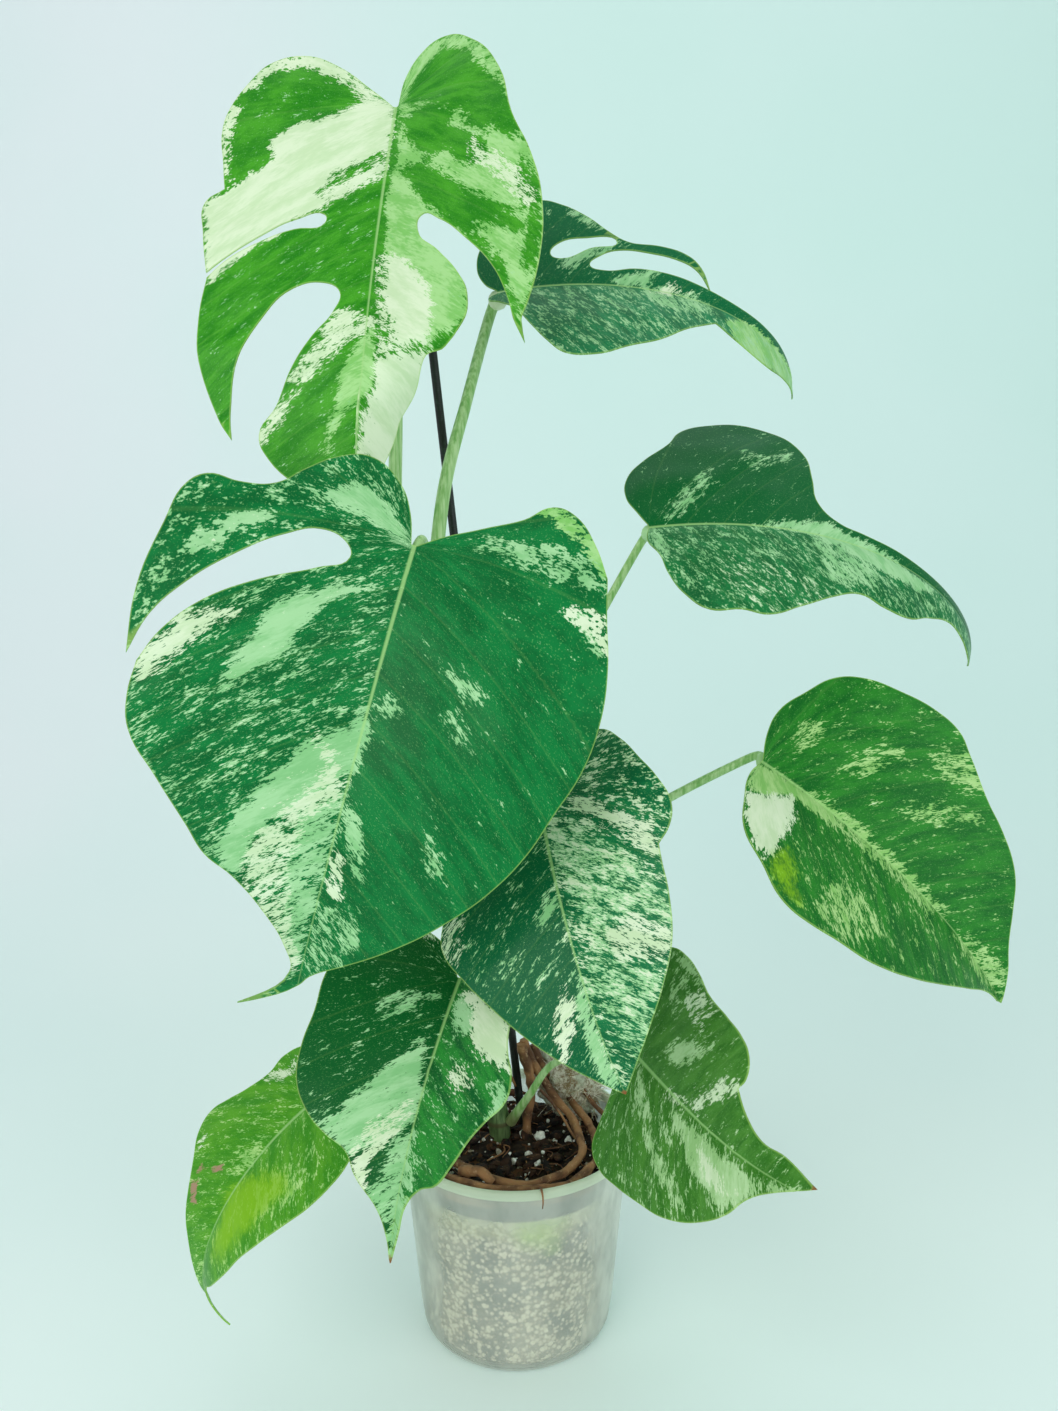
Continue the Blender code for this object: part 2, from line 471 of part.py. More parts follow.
def make_mix(finish, group, cutters):
    floor = POT_FLOOR + GAP
    corner = POT_CORNER
    top = MIX_TOP
    outer = POT_WALL + 2 * GAP
    profile = [(0.0, top)]
    rings = 4
    for ring in range(1, rings + 1):
        profile.append(((pot_radius(top) - outer) * ring / rings, top))
    profile.append((pot_radius(corner) - outer, corner + 0.002))
    profile.append((POT_BASE_RADIUS - corner, floor + 0.0004))
    profile.append((0.0, floor))
    piece = turned("potting_mix", profile, 48, finish, group)
    piece.data = evaluated_mesh(piece)
    piece.modifiers.clear()
    for vertex in piece.data.vertices:
        if vertex.co.z > top - 0.0001:
            vertex.co.z = mix_height(vertex.co.x, vertex.co.y)
    route = smooth_route(STEM_ROUTE, 31)[:9]
    route[0].z -= 2 * GAP
    stem_hole = tube("stem_hole", route, [STEM_FOOT_RADIUS + 2 * GAP] * len(route), finish, group)
    shaft = stem_hole.data
    bpy.data.objects.remove(stem_hole)
    foot = Vector(STAKE_FOOT)
    head = Vector(STAKE_HEAD)
    way = (head - foot).normalized()
    stake_hole = cylinder_mesh("stake_hole", STAKE_RADIUS + GAP, foot - way * GAP, foot + way * 0.1, 12)
    cut(piece, cutter("stem_hole", shaft, cutters))
    cut(piece, cutter("stake_hole", stake_hole, cutters))
    return piece


def make_root(name, radius, start, end, ring, lift, finish, group, count):
    """A root lying on the mix, circling inside the pot's wall."""
    points = []
    for step in range(count):
        t = step / (count - 1)
        turn = math.radians(start + (end - start) * t)
        away = ring + 0.0012 * math.sin(5.0 * turn + lift * 900)
        height = MIX_TOP + 1.7 * MIX_LUMP + radius + lift + 0.0008 * math.sin(4.0 * turn)
        points.append((away * math.cos(turn), away * math.sin(turn), height))
    radii = [radius * (1.0 - 0.35 * step / (count - 1)) for step in range(count)]
    return tube(name, points, radii, finish, group, sides=1)


def scatter(name, count, small, large, inner, outer, seed, finish, group, placed):
    """Granules or chips lying on the mix, clear of each other and of the stems, each its own piece."""
    draw = random.Random(seed)
    number = 0
    while number < count:
        turn = draw.uniform(0.0, 2 * math.pi)
        away = math.sqrt(draw.uniform(inner ** 2, outer ** 2))
        x = away * math.cos(turn)
        y = away * math.sin(turn)
        size = draw.uniform(small, large)
        if any(math.hypot(x - px, y - py) < size + other + GAP for px, py, other in placed):
            continue
        placed.append((x, y, size))
        number += 1
        shape = bmesh.new()
        if name == "perlite":
            bmesh.ops.create_icosphere(shape, subdivisions=1, radius=size)
        else:
            tilt = Euler((draw.uniform(-0.4, 0.4), draw.uniform(-0.4, 0.4), 2 * turn)).to_matrix()
            bmesh.ops.create_cube(shape, size=1.0)
            bmesh.ops.scale(shape, vec=(1.7 * size, 0.9 * size, 0.5 * size), verts=shape.verts)
            bmesh.ops.rotate(shape, cent=(0, 0, 0), matrix=tilt, verts=shape.verts)
        low = -min(vertex.co.z for vertex in shape.verts)
        rest = MIX_TOP + 1.2 * MIX_LUMP + low + GAP
        bmesh.ops.translate(shape, vec=(x, y, rest), verts=shape.verts)
        mesh = bpy.data.meshes.new(f"{name}_{number}")
        shape.to_mesh(mesh)
        shape.free()
        add_object(f"{name}_{number}", mesh, finish, group)


def make_tuft(finish, group):
    """Moss and old root hairs, a soft lump behind the stem."""
    shape = bmesh.new()
    bmesh.ops.create_icosphere(shape, subdivisions=2, radius=1.0)
    for vertex in shape.verts:
        vertex.co *= 1.0 + 0.14 * noise.noise(vertex.co * 1.8)
    bmesh.ops.scale(shape, vec=TUFT_HALF, verts=shape.verts)
    lean = Matrix.Rotation(TUFT_LEAN, 3, "Y")
    bmesh.ops.rotate(shape, cent=(0, 0, 0), matrix=lean, verts=shape.verts)
    bmesh.ops.translate(shape, vec=TUFT_PLACE, verts=shape.verts)
    mesh = bpy.data.meshes.new("fibre_tuft")
    shape.to_mesh(mesh)
    shape.free()
    mesh.shade_smooth()
    return add_object("fibre_tuft", mesh, finish, group)


# Build ------------------------------------------------------------------------

for old in list(bpy.data.objects):
    bpy.data.objects.remove(old)

plant = bpy.data.collections.new("potted_monstera")
tools = bpy.data.collections.new("cutters")
bpy.context.scene.collection.children.link(plant)
bpy.context.scene.collection.children.link(tools)

frosted_plastic = material("frosted_plastic", (0.72, 0.80, 0.76), 0.35)
mix_brown = material("mix_brown", (0.05, 0.035, 0.025), 0.95)
root_brown = material("root_brown", (0.18, 0.07, 0.035), 0.80)
bark_brown = material("bark_brown", (0.16, 0.07, 0.04), 0.90)
perlite_white = material("perlite_white", (0.80, 0.80, 0.76), 0.90)
fibre_tan = material("fibre_tan", (0.45, 0.33, 0.22), 0.95)
stake_black = material("stake_black", (0.008, 0.02, 0.012), 0.45)
stem_green = material("stem_green", (0.12, 0.30, 0.10), 0.50)
stalk_green = material("stalk_green", (0.16, 0.42, 0.10), 0.45)
blade_green = material("blade_green", (0.02, 0.19, 0.04), 0.35)

make_pot(frosted_plastic, plant, tools)
make_mix(mix_brown, plant, tools)
taken = [(-0.0095, 0.011, 0.010), (0.0, 0.027, 0.006), (*TUFT_PLACE[:2], 0.018)]
scatter("perlite", 8, 0.0018, 0.0028, 0.010, 0.046, 5, perlite_white, plant, taken)
scatter("bark_chip", 6, 0.0045, 0.0065, 0.012, 0.042, 8, bark_brown, plant, taken)

stake_points = [Vector(STAKE_FOOT).lerp(Vector(STAKE_HEAD), step / 3) for step in range(4)]
tube("stake", stake_points, [STAKE_RADIUS] * 4, stake_black, plant)

stem_points = smooth_route(STEM_ROUTE, 11)
stem_radii = [STEM_FOOT_RADIUS + (STEM_HEAD_RADIUS - STEM_FOOT_RADIUS) * step / 10 for step in range(11)]
tube("main_stem", stem_points, stem_radii, stem_green, plant)

make_root("root_front", 0.0028, 195, 352, 0.0605, 0.0, root_brown, plant, 18)
make_root("root_right", 0.0025, -4, 26, 0.0600, 0.0, root_brown, plant, 6)
make_root("root_back", 0.0024, 84, 186, 0.0600, 0.0, root_brown, plant, 13)
make_root("root_inner", 0.0020, 215, 330, 0.0525, 0.0, root_brown, plant, 12)
make_tuft(fibre_tan, plant)

for letter, leaf in LEAVES.items():
    stalk("stalk_" + letter, leaf, stalk_green, plant)
    blade("leaf_" + letter, leaf, blade_green, plant, tools)
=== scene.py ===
import math
import random

import bmesh
import bpy
import numpy as np
from mathutils import Euler, Matrix, Vector, noise


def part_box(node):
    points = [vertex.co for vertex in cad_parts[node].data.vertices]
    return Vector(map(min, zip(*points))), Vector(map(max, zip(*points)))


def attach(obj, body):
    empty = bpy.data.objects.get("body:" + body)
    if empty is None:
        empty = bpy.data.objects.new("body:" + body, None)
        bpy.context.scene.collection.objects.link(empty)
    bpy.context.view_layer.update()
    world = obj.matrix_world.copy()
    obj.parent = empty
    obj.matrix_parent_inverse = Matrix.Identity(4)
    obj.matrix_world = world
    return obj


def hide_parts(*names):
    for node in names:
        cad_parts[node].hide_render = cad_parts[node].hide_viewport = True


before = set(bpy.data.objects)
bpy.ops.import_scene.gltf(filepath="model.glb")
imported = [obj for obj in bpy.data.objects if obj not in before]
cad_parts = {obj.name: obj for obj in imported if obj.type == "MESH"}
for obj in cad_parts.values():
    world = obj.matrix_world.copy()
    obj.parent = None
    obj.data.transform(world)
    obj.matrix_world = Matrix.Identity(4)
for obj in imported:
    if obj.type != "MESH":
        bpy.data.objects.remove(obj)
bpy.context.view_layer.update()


# The studio ------------------------------------------------------------------
# A plain pale sheet runs from the floor up behind the plant in one sweep. Broad
# soft lamps hang in front, above and to both sides. The camera stands in front,
# a little above the middle of the plant, and looks slightly down.

def start_afresh():
    """Leave edit mode and deselect everything before a new piece is begun."""
    if bpy.context.object and bpy.context.object.mode != "OBJECT":
        bpy.ops.object.mode_set(mode="OBJECT")
    bpy.ops.object.select_all(action="DESELECT")


def pick_out(piece):
    """Make one piece the only selected and active one."""
    start_afresh()
    piece.select_set(True)
    bpy.context.view_layer.objects.active = piece


CAMERA_PLACE = (0.0092, -0.5937, 0.4602)
CAMERA_DOWN = math.radians(8.29)
CAMERA_ROLL = math.radians(-0.274)
SWEEP_LINE = 1.4

camera = bpy.data.cameras.new("camera")
camera.sensor_fit = "VERTICAL"
camera.sensor_height = 36.0
camera.lens = 27.04
viewer = bpy.data.objects.new("camera", camera)
bpy.context.scene.collection.objects.link(viewer)
pitched = Matrix.Rotation(math.radians(90) - CAMERA_DOWN, 4, "X")
viewer.matrix_world = Matrix.Translation(CAMERA_PLACE) @ pitched @ Matrix.Rotation(CAMERA_ROLL, 4, "Z")
bpy.context.scene.camera = viewer
bpy.context.scene.view_settings.view_transform = "Standard"

start_afresh()
bpy.ops.mesh.primitive_plane_add(size=6.0, location=(0.0, 0.0, -0.0005))
backdrop = bpy.context.object
backdrop.name = "backdrop"
bpy.ops.object.mode_set(mode="EDIT")
bpy.ops.mesh.select_mode(type="EDGE")
bpy.ops.mesh.select_all(action="DESELECT")
sheet = bmesh.from_edit_mesh(backdrop.data)
for edge in sheet.edges:
    edge.select = all(vertex.co.y > SWEEP_LINE for vertex in edge.verts)
bmesh.update_edit_mesh(backdrop.data)
bpy.ops.transform.translate(value=(0.0, SWEEP_LINE - 3.0, 0.0))
bpy.ops.mesh.extrude_region_move(TRANSFORM_OT_translate={"value": (0.0, 0.0, 3.5)})
bpy.ops.mesh.select_all(action="DESELECT")
sheet = bmesh.from_edit_mesh(backdrop.data)
for edge in sheet.edges:
    edge.select = all(vertex.co.y > SWEEP_LINE - 0.1 and vertex.co.z < 0.1 for vertex in edge.verts)
bmesh.update_edit_mesh(backdrop.data)
bpy.ops.mesh.bevel(offset=1.0, segments=24)
bpy.ops.object.mode_set(mode="OBJECT")
bpy.ops.object.shade_smooth()

lamps = [
    ("key", (-1.1, -1.7, 1.3), 2.0, 22.0, (1.0, 0.99, 0.96)),
    ("fill", (1.5, -1.4, 0.9), 2.0, 12.0, (0.95, 1.0, 1.0)),
    ("above", (0.1, 0.2, 2.4), 2.4, 5.0, (1.0, 1.0, 1.0)),
]
for name, place, size, power, colour in lamps:
    lamp = bpy.data.lights.new(name, "AREA")
    lamp.shape = "DISK"
    lamp.size = size
    lamp.energy = power
    lamp.color = colour
    holder = bpy.data.objects.new(name, lamp)
    bpy.context.scene.collection.objects.link(holder)
    aim = Vector((0.02, 0.0, 0.36)) - Vector(place)
    holder.matrix_world = Matrix.Translation(place) @ aim.to_track_quat("-Z", "Y").to_matrix().to_4x4()

world = bpy.data.worlds.new("studio")
world.use_nodes = True
world.node_tree.nodes["Background"].inputs["Color"].default_value = (0.86, 0.97, 0.98, 1.0)
world.node_tree.nodes["Background"].inputs["Strength"].default_value = 0.52
bpy.context.scene.world = world


class Wire:
    """One value inside a finish; ordinary arithmetic on it adds Math nodes."""

    def __init__(self, finish, socket):
        self.finish = finish
        self.socket = socket

    def math(self, operation, *values):
        return self.finish.node("ShaderNodeMath", {"operation": operation}, dict(enumerate(values)))

    def __add__(self, other):
        return self.math("ADD", self, other)

    def __radd__(self, other):
        return self.math("ADD", other, self)

    def __sub__(self, other):
        return self.math("SUBTRACT", self, other)

    def __rsub__(self, other):
        return self.math("SUBTRACT", other, self)

    def __mul__(self, other):
        return self.math("MULTIPLY", self, other)

    def __rmul__(self, other):
        return self.math("MULTIPLY", other, self)

    def __abs__(self):
        return self.math("ABSOLUTE", self)


class Finish:
    """A node material; node() adds any node and returns one of its outputs."""

    def __init__(self, name, constants):
        self.material = bpy.data.materials.new(name)
        self.material.use_nodes = True
        self.tree = self.material.node_tree
        self.shader = self.tree.nodes["Principled BSDF"]
        for socket, value in constants.items():
            self.shader.inputs[socket].default_value = value

    def node(self, kind, settings, values, output=0):
        made = self.tree.nodes.new(kind)
        for setting, value in settings.items():
            setattr(made, setting, value)
        for key, value in values.items():
            if isinstance(value, Wire):
                self.tree.links.new(value.socket, made.inputs[key])
            else:
                made.inputs[key].default_value = value
        return Wire(self, made.outputs[output])

    def feed(self, socket, wire):
        self.tree.links.new(wire.socket, self.shader.inputs[socket])


def paint(code):
    """A colour from its six-figure code, as the shader's linear numbers."""
    parts = [int(code[k:k + 2], 16) / 255 for k in (0, 2, 4)]
    return (*[((p + 0.055) / 1.055) ** 2.4 if p > 0.04 else p / 12.92 for p in parts], 1.0)


def mixed(finish, share, first, second):
    """The first colour where share is 0, the second where it is 1."""
    return finish.node("ShaderNodeMix", {"data_type": "RGBA"}, {0: share, 6: first, 7: second}, 2)


def between(finish, value, low, high):
    """0 below low, 1 above high, with a soft step between them."""
    return finish.node("ShaderNodeMapRange", {"interpolation_type": "SMOOTHSTEP"},
                       {"Value": value, "From Min": low, "From Max": high})


def cloud(finish, place, scale, detail=3.0, rough=0.55):
    """Soft noise, about 0.3 to 0.7."""
    return finish.node("ShaderNodeTexNoise", {"noise_dimensions": "3D"},
                       {"Vector": place, "Scale": scale, "Detail": detail, "Roughness": rough})


def stretched(finish, place, scale):
    """A place with its three parts scaled apart."""
    return finish.node("ShaderNodeVectorMath", {"operation": "MULTIPLY"}, {0: place, 1: scale})


def on_object(finish):
    return finish.node("ShaderNodeTexCoord", {}, {}, 3)


def relief(finish, height, depth, strength=1.0):
    """Feed a height, in metres when depth is 1, to the finish's normal."""
    bump = finish.node("ShaderNodeBump", {}, {"Height": height, "Distance": depth, "Strength": strength})
    finish.feed("Normal", bump)


paper = Finish("backdrop_paper", {"Roughness": 0.9, "Specular IOR Level": 0.2})
sideways = paper.node("ShaderNodeSeparateXYZ", {}, {"Vector": on_object(paper)}, 0)
tone = cloud(paper, on_object(paper), 1.3, 2.0)
# Painted light across the sheet: bluish-white to the left, mint from the middle to the right.
painted_light_tone = mixed(paper, between(paper, sideways, -0.75, 0.15), paint("f1f6fa"), paint("daf5ef"))
away = paper.node("ShaderNodeSeparateXYZ", {}, {"Vector": on_object(paper)}, 1)
# More painted light: near white at the front of the floor, turning to those tones further back.
painted_light_tone = mixed(paper, 0.15 + 0.75 * between(paper, away, 0.1, 1.25), paint("f6fffc"), painted_light_tone)
paper.feed("Base Color", mixed(paper, 0.5 * between(paper, tone, 0.35, 0.65), painted_light_tone, paint("e6f8f6")))
backdrop.data.materials.append(paper.material)


# The nursery pot -------------------------------------------------------------
# A thin clear pot with a milky, slightly frosted wall and a rolled, paler lip.
# It is moulded polypropylene, with drain holes in its base. It stands on the
# floor and holds everything else.

POT_HEIGHT = 0.120
POT_TOP = 0.070
POT_BASE = 0.057
POT_WALL = 0.0012
POT_FLOOR = 0.0016
LIP_HEIGHT = 0.0055
LIP_STEP = 0.0022
CORNER = 0.006
CORNER_STEPS = 6
WALL_STEPS = 12
DRAIN_HOLES = 8
DRAIN_HOLE_RADIUS = 0.004
DRAIN_RING = 0.043


def wall_radius(z):
    """Outer radius of the pot's wall at a height."""
    return POT_BASE + (POT_TOP - LIP_STEP - POT_BASE) * z / POT_HEIGHT


def raise_rings(name, rings, sides):
    """A closed round piece, raised ring by ring from a filled circle and filled again at its end."""
    start_afresh()
    (radius, height), *rest = rings
    bpy.ops.mesh.primitive_circle_add(vertices=sides, radius=radius, fill_type="NGON")
    piece = bpy.context.object
    piece.name = name
    bpy.ops.object.mode_set(mode="EDIT")
    bpy.ops.mesh.select_mode(type="EDGE")
    bpy.ops.mesh.select_all(action="SELECT")
    bpy.ops.transform.translate(value=(0.0, 0.0, height))
    bpy.ops.mesh.region_to_loop()
    for next_radius, next_height in rest:
        bpy.ops.mesh.extrude_region_move(TRANSFORM_OT_translate={"value": (0.0, 0.0, next_height - height)})
        grow = next_radius / radius
        bpy.ops.transform.resize(value=(grow, grow, 1.0), center_override=(0.0, 0.0, 0.0))
        radius = next_radius
        height = next_height
    bpy.ops.mesh.edge_face_add()
    bpy.ops.mesh.select_all(action="SELECT")
    bpy.ops.mesh.normals_make_consistent(inside=False)
    bpy.ops.object.mode_set(mode="OBJECT")
    bpy.ops.object.shade_smooth_by_angle(angle=math.radians(40))
    return piece


def wall_height(step):
    """Height of the wall's rings, between the rounded corner and the lip."""
    return CORNER + (POT_HEIGHT - LIP_HEIGHT - CORNER) * step / WALL_STEPS


outside = [(POT_BASE - CORNER, 0.0)]
for step in range(1, CORNER_STEPS + 1):
    turn = math.radians(90 * step / CORNER_STEPS)
    outside.append((POT_BASE - CORNER * (1 - math.sin(turn)), CORNER * (1 - math.cos(turn))))
for step in range(1, WALL_STEPS + 1):
    outside.append((wall_radius(wall_height(step)), wall_height(step)))
lip = [(POT_TOP - 0.0010, POT_HEIGHT - LIP_HEIGHT), (POT_TOP - 0.0003, POT_HEIGHT - LIP_HEIGHT + 0.0004),
       (POT_TOP, POT_HEIGHT - LIP_HEIGHT + 0.0014), (POT_TOP, POT_HEIGHT - 0.0018),
       (POT_TOP - 0.0004, POT_HEIGHT - 0.0007), (POT_TOP - 0.0012, POT_HEIGHT - 0.0001),
       (POT_TOP - 0.0022, POT_HEIGHT), (wall_radius(POT_HEIGHT) - POT_WALL, POT_HEIGHT - 0.0012)]
inside = []
for step in range(WALL_STEPS, 0, -1):
    inside.append((wall_radius(wall_height(step)) - POT_WALL, wall_height(step)))
for step in range(CORNER_STEPS, 0, -1):
    turn = math.radians(90 * step / CORNER_STEPS)
    inside.append((POT_BASE - CORNER + (CORNER - POT_WALL) * math.sin(turn),
                   CORNER - (CORNER - POT_FLOOR) * math.cos(turn)))
inside.append((POT_BASE - CORNER, POT_FLOOR))
pot = raise_rings("nursery_pot", outside + lip + inside, 128)

for number in range(DRAIN_HOLES):
    turn = 2 * math.pi * (number + 0.5) / DRAIN_HOLES
    start_afresh()
    bpy.ops.mesh.primitive_cylinder_add(
        vertices=24, radius=DRAIN_HOLE_RADIUS, depth=0.012,
        location=(DRAIN_RING * math.cos(turn), DRAIN_RING * math.sin(turn), 0.0))
    cutter = bpy.context.object
    cut = pot.modifiers.new("drain", "BOOLEAN")
    cut.operation = "DIFFERENCE"
    cut.object = cutter
    pick_out(pot)
    bpy.ops.object.modifier_apply(modifier=cut.name)
    bpy.data.objects.remove(cutter)

frosted = Finish("frosted_polypropylene", {"IOR": 1.49, "Specular IOR Level": 0.4})
place = on_object(frosted)
height = frosted.node("ShaderNodeSeparateXYZ", {}, {"Vector": place}, 2)
milk = cloud(frosted, stretched(frosted, place, (1.0, 1.0, 0.5)), 55.0, 4.0)
lip_share = between(frosted, height, POT_HEIGHT - LIP_HEIGHT - 0.0016, POT_HEIGHT - LIP_HEIGHT + 0.0006)
wall_tone = mixed(frosted, between(frosted, milk, 0.35, 0.65), paint("d9e0d5"), paint("e9eee2"))
frosted.feed("Base Color", mixed(frosted, lip_share, wall_tone, paint("d8e4ca")))
foot_share = 1 - between(frosted, height, 0.001, 0.006)
sides = frosted.node("ShaderNodeSeparateXYZ", {}, {"Vector": place}, 0)
haze = between(frosted, abs(sides) + 0.02 * (milk - 0.5), 0.036, 0.066)
empty = between(frosted, height + 0.012 * (milk - 0.5), 0.090, 0.103)
cover = 0.25 + 0.33 * lip_share + 0.30 * foot_share + 0.46 * haze + 0.08 * empty
frosted.feed("Alpha", cover + 0.10 * (milk - 0.45))
frosted.feed("Roughness", 0.34 + 0.2 * milk - 0.1 * lip_share)
relief(frosted, cloud(frosted, stretched(frosted, place, (1.0, 1.0, 0.2)), 260.0, 2.0), 0.00025, 0.5)
pot.data.materials.append(frosted.material)
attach(pot, "root")
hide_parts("pot")


# The potting mix -------------------------------------------------------------
# A chunky mix of bark, coir and perlite fills the pot to two centimetres below
# the lip. It is nearly black and damp on top. Against the wall its pale granules
# press on the plastic, with a patch of green algae near the top in front.

MIX_TOP = 0.100
MIX_LUMP = 0.002


def mix_height(x, y):
    """Height of the potting mix's lumpy top."""
    lump = noise.noise(Vector((x, y, 0.0)) * 70.0) + 0.5 * noise.noise(Vector((x, y, 0.3)) * 160.0)
    mound = 0.005 * max(0.0, 1.0 - (x * x + y * y) / 0.0042)
    return MIX_TOP + mound + MIX_LUMP * lump


gap = POT_WALL + 0.0005
rings = [(POT_BASE - CORNER, POT_FLOOR + 0.0006), (POT_BASE - 0.0035, 0.0045)]
side_rings = 9
for step in range(side_rings):
    z = 0.009 + (MIX_TOP - 0.010) * step / (side_rings - 1)
    rings.append((wall_radius(z) - gap, z))
top_rings = 26
for step in range(top_rings):
    rings.append(((wall_radius(MIX_TOP) - gap) * (1.0 - (step + 0.4) / (top_rings + 1)), MIX_TOP))
mix = raise_rings("potting_mix_filling", rings, 112)
for vertex in mix.data.vertices:
    if vertex.co.z > MIX_TOP - 0.0002:
        crumb = 0.0011 * noise.noise(vertex.co * 330.0) + 0.0007 * noise.noise(vertex.co * 700.0)
        vertex.co.z = mix_height(vertex.co.x, vertex.co.y) + crumb

crumbs = Finish("damp_mix", {"Roughness": 0.9, "Specular IOR Level": 0.25})
place = on_object(crumbs)
cells = crumbs.node("ShaderNodeTexVoronoi", {"feature": "F1"}, {"Vector": place, "Scale": 330.0}, 1)
cell_tone = crumbs.node("ShaderNodeSeparateColor", {}, {"Color": cells}, 0)
lumps = cloud(crumbs, place, 120.0, 4.0)
soil = mixed(crumbs, between(crumbs, lumps, 0.35, 0.62), paint("15110e"), paint("3a2c20"))
soil = mixed(crumbs, between(crumbs, cell_tone, 0.78, 0.82), soil, paint("55361f"))
soil = mixed(crumbs, between(crumbs, cell_tone, 0.965, 0.975), soil, paint("b9ab94"))
crumbs.feed("Base Color", soil)
relief(crumbs, cloud(crumbs, place, 420.0, 5.0, 0.7), 0.0015)

packed = Finish("mix_against_wall", {"Roughness": 0.8, "Specular IOR Level": 0.2})
place = on_object(packed)
grains = packed.node("ShaderNodeTexVoronoi", {"feature": "SMOOTH_F1"},
                     {"Vector": place, "Scale": 400.0, "Smoothness": 0.6})
grain_tint = packed.node("ShaderNodeTexVoronoi", {"feature": "F1"}, {"Vector": place, "Scale": 400.0}, 1)
grain_share = packed.node("ShaderNodeSeparateColor", {}, {"Color": grain_tint}, 0)
drift = cloud(packed, place, 42.0, 3.0)
dark = mixed(packed, between(packed, drift, 0.38, 0.62), paint("6d6960"), paint("968b78"))
light = mixed(packed, grain_share, paint("c3b496"), paint("efe4cb"))
grain_mask = between(packed, 0.58 - grains + 0.5 * (grain_share - 0.5) + 0.5 * (drift - 0.5), -0.05, 0.42)
side = mixed(packed, grain_mask, dark, light)
algae_place = (0.014, -0.066, 0.0975)
apart = packed.node("ShaderNodeVectorMath", {"operation": "DISTANCE"}, {0: place, 1: algae_place}, 1)
algae = 1 - between(packed, apart + 0.03 * (drift - 0.5), 0.006, 0.026)
side = mixed(packed, 0.75 * algae, side, paint("b5dc3c"))
height = packed.node("ShaderNodeSeparateXYZ", {}, {"Vector": place}, 2)
near_top = between(packed, height + 0.02 * (drift - 0.5), 0.084, 0.096)
side = mixed(packed, 0.4 * near_top, side, paint("c9c98f"))
packed.feed("Base Color", side)
relief(packed, grains, 0.001, 0.6)
mix.data.materials.append(crumbs.material)
mix.data.materials.append(packed.material)
for face in mix.data.polygons:
    face.material_index = int(face.center.z < MIX_TOP - 0.003)
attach(mix, "root")
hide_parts("potting_mix")


# Bark, perlite and small stuff on the mix -------------------------------------
# Loose chips of dark pine bark and white puffed perlite granules lie on the mix,
# dropped there and washed into its hollows. Each kind is modelled once, as a
# rough lump, and copied.

def rough_lump(name, radius, squash, seed):
    """One rough granule: an icosphere pushed about and flattened."""
    start_afresh()
    bpy.ops.mesh.primitive_ico_sphere_add(subdivisions=2, radius=radius)
    lump = bpy.context.object
    lump.name = name
    for vertex in lump.data.vertices:
        push = 1.0 + 0.45 * noise.noise(vertex.co / radius * 1.1 + Vector((seed, 0.0, 0.0)))
        vertex.co = vertex.co * push
    bpy.ops.object.mode_set(mode="EDIT")
    bpy.ops.mesh.select_all(action="SELECT")
    bpy.ops.transform.resize(value=squash, center_override=(0.0, 0.0, 0.0))
    bpy.ops.object.mode_set(mode="OBJECT")
    return lump


def strew(name, patterns, places):
    """Copies of the patterns at (place, size, turn), each with its own mesh, joined into one piece."""
    copies = []
    for number, (place, size, turn) in enumerate(places):
        pattern = patterns[number % len(patterns)]
        copy = bpy.data.objects.new(name, pattern.data.copy())
        bpy.context.scene.collection.objects.link(copy)
        copy.data.transform(Matrix.Translation(place) @ turn.to_matrix().to_4x4() @ Matrix.Scale(size, 4))
        copies.append(copy)
    for pattern in patterns:
        bpy.data.objects.remove(pattern)
    start_afresh()
    for copy in copies:
        copy.select_set(True)
    bpy.context.view_layer.objects.active = copies[0]
    bpy.ops.object.join()
    piece = bpy.context.object
    piece.name = name
    return piece


def on_mix(draw, inner, outer):
    """A random place on the mix between two radii."""
    turn = draw.uniform(0.0, 2 * math.pi)
    away = math.sqrt(draw.uniform(inner ** 2, outer ** 2))
    x = away * math.cos(turn)
    y = away * math.sin(turn)
    return Vector((x, y, mix_height(x, y)))


CHIPS = 6
GRANULES = 8

draw = random.Random(11)
chip_places = []
for number in range(1, CHIPS + 1):
    low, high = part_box(f"bark_chip_{number}")
    chip_places.append(((low + high) / 2, 1.7, Euler((draw.uniform(-0.4, 0.4), 0.2, draw.uniform(0, 6)))))
for number in range(240):
    chip_places.append((on_mix(draw, 0.0, 0.062) + Vector((0, 0, draw.uniform(0.0, 0.0022))),
                        draw.uniform(0.45, 1.35),
                        Euler((draw.uniform(-0.8, 0.8), draw.uniform(-0.8, 0.8), draw.uniform(0, 6)))))
chips = strew("bark_chips", [rough_lump("chip", 0.0034, (1.4, 0.8, 0.5), 1.0),
                             rough_lump("chip", 0.0030, (1.1, 0.9, 0.55), 5.0)], chip_places)
bark = Finish("pine_bark", {"Roughness": 0.85, "Specular IOR Level": 0.3})
place = on_object(bark)
grain = cloud(bark, stretched(bark, place, (1.0, 3.0, 1.0)), 300.0, 5.0, 0.65)
patch = cloud(bark, place, 110.0, 1.0)
bark_tone = mixed(bark, between(bark, patch, 0.42, 0.62), paint("100c0a"), paint("3a2416"))
bark.feed("Base Color", mixed(bark, between(bark, grain, 0.54, 0.74), bark_tone, paint("7a553a")))
relief(bark, grain, 0.0012)
chips.data.materials.append(bark.material)
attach(chips, "root")
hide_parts(*[f"bark_chip_{number}" for number in range(1, CHIPS + 1)])

